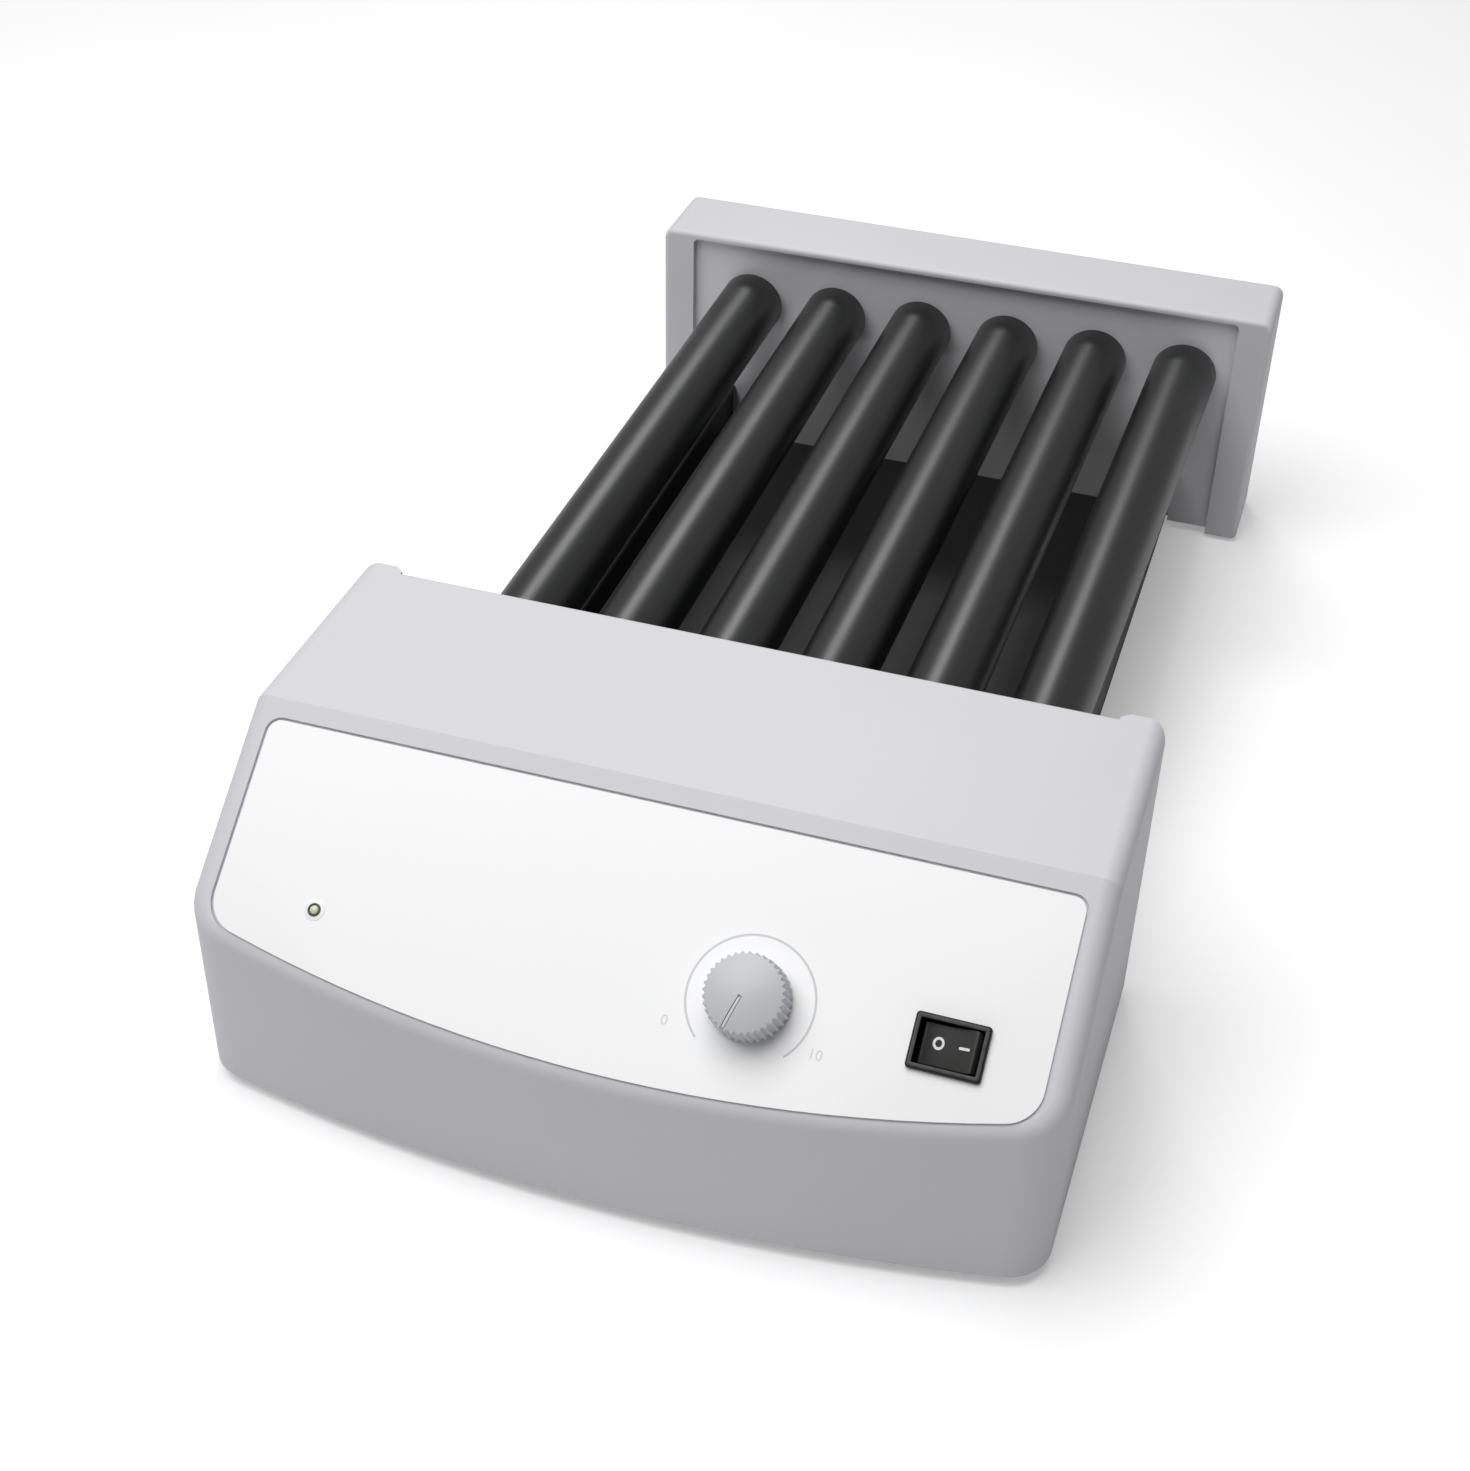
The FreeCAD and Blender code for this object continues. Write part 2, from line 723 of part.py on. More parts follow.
front_base = new_body("front_base")
front_floor = new_sketch(front_base, "XY_Plane", "ground_gap")
bowed_plan(front_floor, "(shell_wall + seat_gap)", "front_plate_y")
pad(front_base, front_floor, "floor_thickness")
dress(front_base, "Fillet", "front_corner_radius - shell_wall - seat_gap",
      lambda edge: runs_along(edge, 2) and mid(edge).y < number("front_plate_y") - 1)
drill_down(front_base, list(front_boss_places()), "screw_radius + screw_gap", "ground_gap")
drill_down(front_base, plate_screw_places("front_screw_y") + BRACKET_SCREWS,
           "screw_radius + screw_gap", "ground_gap")
drill_down(front_base, FRONT_FEET, "foot_stem_radius + running_gap", "ground_gap")
node(front_base)

rear_base = new_body("rear_base")
rear_floor = new_sketch(rear_base, "XY_Plane", "ground_gap")
rectangle(rear_floor, "-(rear_half - shell_wall - seat_gap)", "rear_half - shell_wall - seat_gap",
          "rear_inside_y + seat_gap", "rear_back_y - shell_wall - seat_gap")
pad(rear_base, rear_floor, "floor_thickness")
drill_down(rear_base, list(rear_boss_places()), "screw_radius + screw_gap", "ground_gap")
drill_down(rear_base, plate_screw_places("rear_screw_y"), "screw_radius + screw_gap",
           "ground_gap")
drill_down(rear_base, REAR_FEET, "foot_stem_radius + running_gap", "ground_gap")
node(rear_base)

tray = new_body("link_tray")
tray_sheet = new_sketch(tray, "XY_Plane", "floor_top")
rectangle(tray_sheet, "-tray_half", "tray_half", "motor_y - bracket_foot",
          "rear_inside_y + plate_foot")
pad(tray, tray_sheet, "tray_thickness")
tray_lips = new_sketch(tray, "XY_Plane", "floor_top")
for edge_x, inside_x in (("-tray_half", "-tray_half + tray_thickness"),
                         ("tray_half - tray_thickness", "tray_half")):
    rectangle(tray_lips, edge_x, inside_x, "front_plate_y + seat_gap", "rear_plate_y - seat_gap")
pad(tray, tray_lips, "tray_lip")
drill_down(tray, plate_screw_places("front_screw_y") + BRACKET_SCREWS
           + plate_screw_places("rear_screw_y"), "screw_radius + screw_gap", "floor_top")
node(tray)


def drill_through(body, places, radius, y):
    """Level holes along Y through the sheet that stands about y."""
    sketch = new_sketch(body, "XZ_Plane", f"-({y})")
    circles(sketch, places, radius)
    pocket(body, sketch, "4 * plate_thickness", centred=True)


def bearing_plate(label, face, inward, half, height, screws):
    """Upright sheet behind a housing's frame with a foot folded inward along its lower edge."""
    inside = f"({face} + {inward} * plate_thickness)"
    toe = f"({inside} + {inward} * plate_foot)"
    body = new_body(label)
    profile = new_sketch(body, "YZ_Plane")
    outline(profile, [
        (face, "tray_top"), (face, f"{height} - shell_wall - seat_gap"),
        (inside, f"{height} - shell_wall - seat_gap"), (inside, "tray_top + plate_thickness"),
        (toe, "tray_top + plate_thickness"), (toe, "tray_top")])
    pad(body, profile, f"2 * ({half} - shell_wall - seat_gap)", centred=True)
    drill_through(body, BEARING_PLACES, "bush_radius + running_gap", face)
    drill_down(body, screws, "screw_radius + screw_gap", "tray_top")
    return node(body)


BEARING_PLACES = [(roller_x(i), "axis_height") for i in ROLLERS]
IDLER_PLACES = [(idler_x(j), "idler_height") for j in IDLERS]
front_plate = bearing_plate("front_bearing_plate", "front_plate_y", -1, "front_half",
                            "front_height", plate_screw_places("front_screw_y"))
drill_through(front_plate, IDLER_PLACES, "idler_pin_radius + running_gap", "front_plate_y")
rear_plate = bearing_plate("rear_bearing_plate", "rear_plate_y", 1, "rear_half", "rear_height",
                           plate_screw_places("rear_screw_y"))
# Beside the tray the end plate hangs in front of its floor, nearly to the housing's lower edge
aprons = new_sketch(rear_plate, "XZ_Plane", "-rear_plate_y")
for low_x, high_x in (("seat_gap + shell_wall - rear_half", "-tray_half - seat_gap"),
                      ("tray_half + seat_gap", "rear_half - shell_wall - seat_gap")):
    rectangle(aprons, low_x, high_x, "rear_skirt_gap + apron_gap", "tray_top + plate_thickness")
pad(rear_plate, aprons, "plate_thickness", backward=True)


def bushes(label, face, outward):
    """Flanged plastic bushes: flange on the roller side, barrel through the plate."""
    body = new_body(label)
    for radius, length, backward in (("bush_flange_radius", "bush_flange", outward > 0),
                                     ("bush_radius", "bush_length", outward < 0)):
        ring = new_sketch(body, "XZ_Plane", f"-({face})")
        circles(ring, BEARING_PLACES, radius)
        pad(body, ring, length, backward=backward)
    bore = new_sketch(body, "XZ_Plane", f"-({face})")
    circles(bore, BEARING_PLACES, "shaft_radius + running_gap")
    pocket(body, bore, "4 * bush_length", centred=True)
    node(body)


bushes("front_bearings", "front_plate_y", 1)
bushes("rear_bearings", "rear_plate_y", -1)

feet = new_body("rubber_feet")
for radius, bottom, length in (("foot_radius", "0", "ground_gap"),
                               ("foot_stem_radius", "ground_gap", "floor_thickness")):
    pads = new_sketch(feet, "XY_Plane", bottom)
    circles(pads, FRONT_FEET + REAR_FEET, radius)
    pad(feet, pads, length)
dress(feet, "Chamfer", "foot_chamfer", lambda edge: near(mid(edge).z, "0"))
node(feet)


def screws(label, groups):
    """Pan-head screws; each group gives places, seat height, shank length and head side."""
    body = new_body(label)
    for places, seat, length, head_up in groups:
        head = new_sketch(body, "XY_Plane", seat)
        circles(head, places, "screw_head_radius")
        pad(body, head, "screw_head_height", backward=not head_up)
        shank = new_sketch(body, "XY_Plane", seat)
        circles(shank, places, "screw_radius")
        pad(body, shank, length, backward=head_up)
    return node(body)


THROUGH_LENGTH = "tray_thickness + floor_thickness - seat_gap"
screws("cover_screws", [(list(front_boss_places()) + list(rear_boss_places()), "ground_gap",
                         "screw_length", False)])
screws("plate_screws", [
    (plate_screw_places("front_screw_y") + plate_screw_places("rear_screw_y"),
     "tray_top + plate_thickness", f"plate_thickness + {THROUGH_LENGTH}", True)])
screws("bracket_screws", [(BRACKET_SCREWS, "tray_top + bracket_thickness",
                           f"bracket_thickness + {THROUGH_LENGTH}", True)])


# Rollers: the tube's ends sit off the level bearing axis to opposite sides, so it rocks

ALONG_Y = ((0, 0, 0), (1, 0, 0), -90)
TILT = ((0, 0, 0), (0, 0, 1), "-roller_tilt")


def on_bearing_axis(i, *steps):
    """Place on roller i's bearing axis at its rest phase, then the further steps."""
    return dict(x=roller_x(i), y="roller_mid_y", z="axis_height", axis=(0, -1, 0),
                angle="rest_phase", then=list(steps))


def hollow_tube(label, outer_radius, bore, length, where):
    body = new_body(label)
    ring = new_sketch(body, "XY_Plane")
    circles(ring, [("0", "0")], outer_radius)
    circles(ring, [("0", "0")], bore)
    pad(body, ring, length, centred=True)
    place(body, **where)
    return body


def roller_end(i, side, reach):
    """Plug, flange and stub shaft at one end; the shaft is level and off the tube's centre."""
    name = f"roller_{i + 1}_{'rear' if side > 0 else 'front'}_end"
    face = "roller_length / 2"
    plug_low = f"{face} - cap_flange - cap_plug"
    flange_low = f"{face} - cap_flange"
    shaft_low = f"{face} - cap_flange / 2"
    if side < 0:
        plug_low, flange_low = f"-({face} - cap_flange)", f"-({face})"
        shaft_low = f"-({reach})"
    plug = cylinder(name + "_plug", "tube_bore", "cap_plug",
                    **on_bearing_axis(i, TILT, ((0, plug_low, 0), (1, 0, 0), -90)))
    flange = cylinder(name + "_flange", "tube_radius", "cap_flange",
                      **on_bearing_axis(i, TILT, ((0, flange_low, 0), (1, 0, 0), -90)))
    shaft = cylinder(name + "_shaft", "shaft_radius", f"{reach} - {face} + cap_flange / 2",
                     **on_bearing_axis(i, ((0, shaft_low, 0), (1, 0, 0), -90)))
    return joined(name, [plug, flange, shaft])


for i in ROLLERS:
    node(hollow_tube(f"roller_tube_{i + 1}", "tube_radius", "tube_bore",
                     "roller_length - 2 * cap_flange", on_bearing_axis(i, TILT, ALONG_Y)))
    sleeve = hollow_tube(f"roller_sleeve_{i + 1}", "roller_radius", "tube_radius",
                         "roller_length", on_bearing_axis(i, TILT, ALONG_Y))
    dress(sleeve, "Chamfer", "sleeve_chamfer",
          lambda edge: isinstance(edge.Curve, Part.Circle)
          and near(edge.Curve.Radius, "roller_radius"))
    node(sleeve)
    ends = doc.addObject("Part::Compound", f"roller_ends_{i + 1}")
    ends.Label = ends.Name
    ends.Links = [
        roller_end(i, 1, "(rear_plate_y + bush_length + shaft_end - roller_mid_y)"),
        roller_end(i, -1, "(roller_mid_y - gear_end_y + shaft_end)")]
    node(ends)


# Gear train: a gear on every roller, idlers between them so that all rollers turn one way

def involute(angle):
    return f"(tan({angle}) - ({angle}) / 1deg * pi / 180)"


def flank_angle(radius, teeth):
    """Half the tooth's angle at a radius, in degrees, thinned by the flank gap."""
    pitch_radius = f"(gear_module * {teeth} / 2)"
    at_radius = f"acos({pitch_radius} * cos(pressure_angle) / ({radius}))"
    pitch_involute = involute("pressure_angle * 1deg")
    swell = f"({pitch_involute} - {involute(at_radius)} - flank_gap / {pitch_radius})"
    return f"(90 / {teeth} + {swell} * 180 / pi)"


def polar(radius, angle):
    return f"({radius}) * cos({angle})", f"({radius}) * sin({angle})"


def spur_gear(label, teeth, bore, x, y, z, phase):
    """Spur gear whose first tooth points along X before it is turned by its phase."""
    pitch_radius = f"(gear_module * {teeth} / 2)"
    base_radius = f"({pitch_radius} * cos(pressure_angle))"
    root_radius = f"({pitch_radius} - addendum - root_gap)"
    tip_radius = f"({pitch_radius} + addendum)"
    body = new_body(label)
    blank = new_sketch(body, "XZ_Plane")
    circles(blank, [("0", "0")], root_radius)
    pad(body, blank, "gear_width")
    tooth = new_sketch(body, "XZ_Plane")
    rim = [(f"({root_radius} - root_gap)", flank_angle(base_radius, teeth)),
           (base_radius, flank_angle(base_radius, teeth)),
           (pitch_radius, flank_angle(pitch_radius, teeth)),
           (tip_radius, flank_angle(tip_radius, teeth))]
    lower = [polar(radius, f"-{angle}") for radius, angle in rim]
    upper = [polar(radius, angle) for radius, angle in reversed(rim)]
    outline(tooth, lower + upper)
    around(body, pad(body, tooth, "gear_width"), tooth, teeth)
    hole = new_sketch(body, "XZ_Plane")
    circles(hole, [("0", "0")], bore)
    pocket(body, hole, "4 * gear_width", centred=True)
    place(body, x=x, y=y, z=z, axis=(0, -1, 0), angle=phase)
    return node(body)


# Turn from one roller gear to the next that keeps both in mesh with the idler between them
MESH_STEP = "(180 + 2 * mesh_angle) * (1 + idler_teeth / roller_teeth)"


def idler_phase(j):
    return (f"(180 - mesh_angle - 180 / idler_teeth"
            f" - (mesh_angle + {j} * {MESH_STEP}) * roller_teeth / idler_teeth)")


for i in ROLLERS:
    spur_gear(f"roller_gear_{i + 1}", "roller_teeth", "shaft_radius", roller_x(i), "gear_y",
              "axis_height", f"{i} * {MESH_STEP}")
for j in IDLERS:
    spur_gear(f"idler_gear_{j + 1}", "idler_teeth", "idler_pin_radius + running_gap",
              idler_x(j), "gear_y", "idler_height", idler_phase(j))
DRIVEN = COUNT // 2 - 1
spur_gear("drive_pinion", "pinion_teeth", "motor_shaft_radius", idler_x(DRIVEN), "gear_y",
          "pinion_height",
          f"90 - 180 / pinion_teeth - (90 + {idler_phase(DRIVEN)}) * idler_teeth / pinion_teeth")

pins = new_body("idler_pins")
for radius, start, stop in (
        ("idler_pin_radius", "front_plate_y", "clip_end_y"),
        ("idler_collar_radius", "front_inside_y", "gear_y + side_gap"),
        ("idler_collar_radius", "gear_end_y - side_gap", "clip_end_y")):
    disc = new_sketch(pins, "XZ_Plane", f"-({start})")
    circles(disc, IDLER_PLACES, radius)
    pad(pins, disc, f"{start} - ({stop})")
node(pins)


# Gear motor on its bracket behind the gears

def stepped_rod(label, steps, bore=None):
    """Round rod along Y; each step is radius, front-most y and rear-most y."""
    body = new_body(label)
    for radius, low, high in steps:
        disc = new_sketch(body, "XZ_Plane", f"-({high})")
        circles(disc, [("0", "0")], radius)
        pad(body, disc, f"{high} - ({low})")
    if bore:
        radius, low, high = bore
        hole = new_sketch(body, "XZ_Plane", f"-({low})")
        circles(hole, [("0", "0")], radius)
        pocket(body, hole, f"{high} - ({low}) + 1")
    place(body, x=idler_x(DRIVEN), z="pinion_height")
    return node(body)


stepped_rod("gear_motor", [
    ("motor_radius", "motor_y - gearbox_length", "motor_y"),
    ("motor_can_radius", "motor_y - gearbox_length - motor_can_length", "motor_y"),
    ("motor_nose_radius", "motor_y - gearbox_length", "bracket_y")],
    bore=("motor_shaft_radius + running_gap", "motor_y - motor_shaft_depth", "bracket_y"))
stepped_rod("motor_shaft", [("motor_shaft_radius", "motor_y - motor_shaft_depth", "gear_y + 1")])

bracket = new_body("motor_bracket")
bracket_profile = new_sketch(bracket, "YZ_Plane")
outline(bracket_profile, [
    ("bracket_y", "tray_top"), ("bracket_y", "pinion_height + motor_radius + bracket_thickness"),
    ("motor_y", "pinion_height + motor_radius + bracket_thickness"),
    ("motor_y", "tray_top + bracket_thickness"),
    ("motor_y - bracket_foot", "tray_top + bracket_thickness"),
    ("motor_y - bracket_foot", "tray_top")])
pad(bracket, bracket_profile, "bracket_width", centred=True)
dress(bracket, "Fillet", "bracket_corner",
      lambda edge: runs_along(edge, 1) and mid(edge).z > number("pinion_height + motor_radius"))
drill_through(bracket, [(idler_x(DRIVEN), "pinion_height")], "motor_nose_radius + running_gap",
              "bracket_y")
drill_down(bracket, BRACKET_SCREWS, "screw_radius + screw_gap", "tray_top")
node(bracket)


# Speed knob on a panel potentiometer

def slope_rod(name, radius, low, high, x, down):
    return cylinder(name, radius, f"{high} - ({low})", **slope_spot(x, down, low))


POT = ("knob_x", "knob_down")
node(cut("potentiometer", joined("pot_solid", [
    slope_rod("pot_case", "pot_radius", "-shell_wall - pot_depth", "-shell_wall", *POT),
    slope_rod("pot_bush", "pot_bush_radius", "-shell_wall - pot_depth / 2", "pot_bush_rise",
              *POT)]),
    slope_rod("pot_bore", "shaft_radius + running_gap", "-shell_wall - pot_depth + 1",
              "pot_bush_rise + 1", *POT)))
nut_prism = doc.addObject("Part::Prism", "nut_prism")
nut_prism.Polygon = 6
bind(nut_prism, Circumradius="pot_nut_radius", Height="pot_nut_height")
place(nut_prism, **slope_spot("knob_x", "knob_down", "overlay_face"))
node(cut("potentiometer_nut", nut_prism,
         slope_rod("nut_bore", "pot_bush_radius + thread_gap", "-shell_wall", "pot_bush_rise",
                   *POT)))
pot_shaft = slope_rod("potentiometer_shaft", "shaft_radius", "-shell_wall - pot_depth + 1.2",
                      "overlay_face + knob_lift + knob_socket", *POT)
pot_shaft.Label = "potentiometer_shaft"
node(pot_shaft)

knob = new_body("speed_knob")
knob_profile = new_sketch(knob, "XZ_Plane")
DOME_RADIUS = "(knob_top_radius ^ 2 + knob_dome ^ 2) / (2 * knob_dome)"
outline(knob_profile, [
    ("0", "0"), ("knob_radius", "0"),
    ("knob_radius - knob_taper", "knob_height - knob_dome - knob_shoulder"),
    ("knob_top_radius", "knob_height - knob_dome", DOME_RADIUS, 1), ("0", "knob_height")])
turned = knob.newObject("PartDesign::Revolution", "knob_turned")
turned.Profile = knob_profile
turned.ReferenceAxis = (knob_profile, ["V_Axis"])
turned.Angle = 360
underside = new_sketch(knob, "XY_Plane")
circles(underside, [("0", "0")], "knob_hollow_radius")
pocket(knob, underside, "knob_hollow", backward=True)
socket = new_sketch(knob, "XY_Plane")
circles(socket, [("0", "0")], "shaft_radius")
pocket(knob, socket, "knob_socket", backward=True)
pointer = new_sketch(knob, "XY_Plane", "knob_height")
rectangle(pointer, "pointer_start", "knob_radius + 1", "-pointer_width / 2",
          "pointer_width / 2")
pocket(knob, pointer, "knob_dome + pointer_depth")
flute = new_sketch(knob, "XY_Plane")
FLUTE_TURN = "360 / knob_flutes"
outline(flute, [polar("knob_radius + 0.01", "0"),
                polar("knob_radius + 1", "0"),
                polar("knob_radius + 1", f"0.95 * {FLUTE_TURN}"),
                polar("knob_radius", f"0.95 * {FLUTE_TURN}"),
                polar("knob_radius - flute_depth", f"0.7 * {FLUTE_TURN}")])
around(knob, pocket(knob, flute, "knob_height + 1", backward=True), flute, "knob_flutes")
place(knob, **dict(SLOPE, then=[(("knob_x", "-knob_down", "overlay_face + knob_lift"),
                                 (0, 0, 1), "pointer_angle")]))
node(knob)


# Rocker switch: housing with bezel and well, and the rocker that tips in it

housing = new_body("switch_housing")
for half_x, half_y, low, high in (
        ("switch_length / 2", "switch_width / 2", "0", "switch_bezel"),
        ("switch_body_x", "switch_body_y", "-switch_body_depth", "0")):
    shape = new_sketch(housing, "XY_Plane", low)
    rectangle(shape, f"-{half_x}", half_x, f"-{half_y}", half_y)
    pad(housing, shape, f"{high} - ({low})")
dress(housing, "Fillet", "bezel_round",
      lambda edge: near(mid(edge).z, "switch_bezel") or
      runs_along(edge, 2) and mid(edge).z > 0)
well = new_sketch(housing, "XY_Plane", "switch_bezel")
rectangle(well, "-switch_well_x", "switch_well_x", "-switch_well_y", "switch_well_y")
pocket(housing, well, "switch_well_depth")
pin_hole = new_sketch(housing, "XZ_Plane")
circles(pin_hole, [("0", "rocker_pivot")], "rocker_pin_radius + running_gap")
pocket(housing, pin_hole, "2 * (switch_well_y + rocker_pin_length)", centred=True)
terminals = new_sketch(housing, "XY_Plane", "-switch_body_depth")
for k in (-1, 0, 1):
    rectangle(terminals, f"{k} * terminal_pitch - terminal_thickness / 2",
              f"{k} * terminal_pitch + terminal_thickness / 2",
              "-terminal_width / 2", "terminal_width / 2")
pad(housing, terminals, "terminal_length", backward=True)
place(housing, **slope_spot("switch_x", "switch_down", "overlay_face"))
node(housing)

rocker = new_body("switch_rocker")
rocker_side = new_sketch(rocker, "XZ_Plane")
RISE = "tan(rocker_tilt)"
tip_x = (f"((sqrt(({RISE} * rocker_rise) ^ 2 - (1 + {RISE} ^ 2) * (rocker_rise ^ 2"
         f" - rocker_radius ^ 2)) - {RISE} * rocker_rise) / (1 + {RISE} ^ 2))")
tip_z = f"(rocker_rise + {tip_x} * {RISE})"
foot_x = "sqrt(rocker_radius ^ 2 - rocker_drop ^ 2)"
outline(rocker_side, [
    ("0", "rocker_rise"), (f"-{tip_x}", tip_z, "rocker_radius", 1),
    (f"-{foot_x}", "-rocker_drop"), (foot_x, "-rocker_drop", "rocker_radius", 1),
    (tip_x, tip_z)])
pad(rocker, rocker_side, "2 * (switch_well_y - rocker_gap)", centred=True)
trunnion = new_sketch(rocker, "XZ_Plane")
circles(trunnion, [("0", "0")], "rocker_pin_radius")
pad(rocker, trunnion, "2 * (switch_well_y + rocker_pin_length - rocker_gap)", centred=True)
place(rocker, **dict(SLOPE, then=[
    (("switch_x", "-switch_down", "overlay_face + rocker_pivot"), (0, -1, 0), "rocker_tilt")]))
node(rocker)


# Power lamp in its snap-in holder

LAMP = ("-lamp_x", "lamp_down")
lens = new_body("power_lamp")
lens_disc = new_sketch(lens, "XY_Plane", "-lamp_depth")
circles(lens_disc, [("0", "0")], "lamp_radius")
pad(lens, lens_disc, "lamp_depth + lamp_holder_rise + lamp_rise")
dress(lens, "Fillet", "lamp_rise + lamp_holder_rise",
      lambda edge: near(mid(edge).z, "lamp_holder_rise + lamp_rise"))
place(lens, **slope_spot(*LAMP, "overlay_face"))
node(lens)
node(cut("lamp_holder", joined("holder_solid", [
    slope_rod("holder_flange", "lamp_holder_radius", "overlay_face",
              "overlay_face + lamp_holder_rise", *LAMP),
    slope_rod("holder_barrel", "lamp_radius + lamp_wall", "overlay_face - lamp_depth + 1",
              "overlay_face", *LAMP)]),
    slope_rod("holder_bore", "lamp_radius + running_gap / 2", "-lamp_depth - 1", "shell_wall",
              *LAMP)))


# Mains inlet, flush in the left wall: flange, body, socket and three blades

inlet = new_body("power_inlet")


def inlet_pad(length, height, low, high):
    sheet_sketch = new_sketch(inlet, "YZ_Plane", low)
    rectangle(sheet_sketch, f"-{length} / 2", f"{length} / 2", f"-{height} / 2",
              f"{height} / 2")
    pad(inlet, sheet_sketch, f"{high} - ({low})")


inlet_pad("inlet_flange_length", "inlet_flange_height", "0", "inlet_flange")
inlet_pad("inlet_body_length", "inlet_body_height", "0", "inlet_body_depth")
cavity = new_sketch(inlet, "YZ_Plane")
rectangle(cavity, "-inlet_socket_length / 2", "inlet_socket_length / 2",
          "-inlet_socket_height / 2", "inlet_socket_height / 2")
pocket(inlet, cavity, "inlet_socket_depth", backward=True)
blades = new_sketch(inlet, "YZ_Plane", "inlet_flange + blade_setback")
for k, rise in ((-1, "-blade_rise"), (0, "blade_rise"), (1, "-blade_rise")):
    rectangle(blades, f"{k} * inlet_blade_pitch - blade_thickness / 2",
              f"{k} * inlet_blade_pitch + blade_thickness / 2",
              f"{rise} - blade_width / 2", f"{rise} + blade_width / 2")
pad(inlet, blades, "inlet_body_depth - inlet_flange - blade_setback + blade_tail")
place(inlet, x="-front_half", y="inlet_y", z="inlet_height")
node(inlet)


# Boards on the front floor

def board_corners():
    for side_x in BOTH_SIDES:
        for side_y in BOTH_SIDES:
            yield (f"-board_x + {side_x} * (board_width / 2 - standoff_radius)",
                   f"front_back_y - board_setback + {side_y} * (board_depth / 2"
                   f" - standoff_radius)")


board = new_body("control_board")
board_sheet = new_sketch(board, "XY_Plane", "board_bottom")
rectangle(board_sheet, "-board_x - board_width / 2", "-board_x + board_width / 2",
          "front_back_y - board_setback - board_depth / 2",
          "front_back_y - board_setback + board_depth / 2")
pad(board, board_sheet, "board_thickness")
chips = new_sketch(board, "XY_Plane", "board_bottom")
for middle_x, half_x, half_y in (
        ("-board_x - board_width / 5", "chip_length / 2", "chip_length / 2"),
        ("-board_x + board_width / 4", "heat_sink_width / 2", "heat_sink_length / 2")):
    rectangle(chips, f"{middle_x} - {half_x}", f"{middle_x} + {half_x}",
              f"front_back_y - board_setback - {half_y}",
              f"front_back_y - board_setback + {half_y}")
pad(board, chips, "board_thickness + chip_height")
capacitors = new_sketch(board, "XY_Plane", "board_bottom")
circles(capacitors, [("-board_x + capacitor_radius / 2",
                      f"front_back_y - board_setback + {side} * capacitor_pitch / 2")
                     for side in BOTH_SIDES], "capacitor_radius")
pad(board, capacitors, "board_thickness + capacitor_height")
node(board)

posts = new_body("board_standoffs")
post_plan = new_sketch(posts, "XY_Plane", "floor_top")
circles(post_plan, list(board_corners()), "standoff_radius")
pad(posts, post_plan, "standoff_height")
node(posts)

supply = new_body("power_supply")
supply_plan = new_sketch(supply, "XY_Plane", "floor_top")
rectangle(supply_plan, "supply_x - supply_width / 2", "supply_x + supply_width / 2",
          "front_back_y - supply_setback - supply_depth / 2",
          "front_back_y - supply_setback + supply_depth / 2")
pad(supply, supply_plan, "supply_height")
dress(supply, "Fillet", "supply_round",
      lambda edge: runs_along(edge, 2) or near(mid(edge).z, "floor_top + supply_height"))
node(supply)


# Check every feature, then write one file per sub-part

doc.recompute()
failed = [item.Name for item in doc.Objects
          if any(word in item.State for word in ("Invalid", "Error"))]
failed += [item.Label for item in NODES if item.Shape.isNull() or not item.Shape.isValid()]
if failed:
    raise RuntimeError("failed: " + ", ".join(failed))
os.makedirs("parts", exist_ok=True)
for item in NODES:
    item.Shape.exportStep(f"parts/{item.Label}.step")
print(f"{len(NODES)} sub-parts")
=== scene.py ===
"""Looks of a bench roller mixer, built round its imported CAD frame.

Metres, with X to the right, Y to the back and Z up. The control housing stands in front, the
end housing behind, and six inclined rollers run between them.
"""

import json
import math

import bpy
import numpy as np
from mathutils import Matrix, Vector


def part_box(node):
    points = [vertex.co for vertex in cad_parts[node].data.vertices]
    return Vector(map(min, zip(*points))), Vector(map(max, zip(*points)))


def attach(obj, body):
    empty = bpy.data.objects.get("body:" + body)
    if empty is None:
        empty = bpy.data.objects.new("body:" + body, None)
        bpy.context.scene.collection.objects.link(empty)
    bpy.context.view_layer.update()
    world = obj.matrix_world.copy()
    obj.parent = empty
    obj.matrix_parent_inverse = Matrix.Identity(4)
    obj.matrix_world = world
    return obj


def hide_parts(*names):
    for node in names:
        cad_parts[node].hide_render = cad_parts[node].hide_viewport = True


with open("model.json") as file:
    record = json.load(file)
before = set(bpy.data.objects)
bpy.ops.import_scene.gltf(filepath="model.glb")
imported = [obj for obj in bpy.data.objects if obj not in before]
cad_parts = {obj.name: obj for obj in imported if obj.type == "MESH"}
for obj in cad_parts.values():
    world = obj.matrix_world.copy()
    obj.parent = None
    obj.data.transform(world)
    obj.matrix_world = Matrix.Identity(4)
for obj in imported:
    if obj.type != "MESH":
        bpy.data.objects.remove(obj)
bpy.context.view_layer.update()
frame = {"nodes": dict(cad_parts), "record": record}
MM = 0.001

# Control face: a plane that starts at the shelf's front edge and slopes down to the nose.
# A spot on it is so far to the right of its middle and so far up the slope from its start.
# The top of the face sheet lies a little under that plane.
SLOPE_START = (0.0, -0.1624, 0.107)
SLOPE_TILT = math.radians(37.3)
KNOB_SPOT = (39.3 * MM, -54.8 * MM)
LAMP_SPOT = (-91.6 * MM, -59.0 * MM)
SWITCH_SPOT = (95.4 * MM, -54.7 * MM)
OVERLAY_RISE = -0.2 * MM

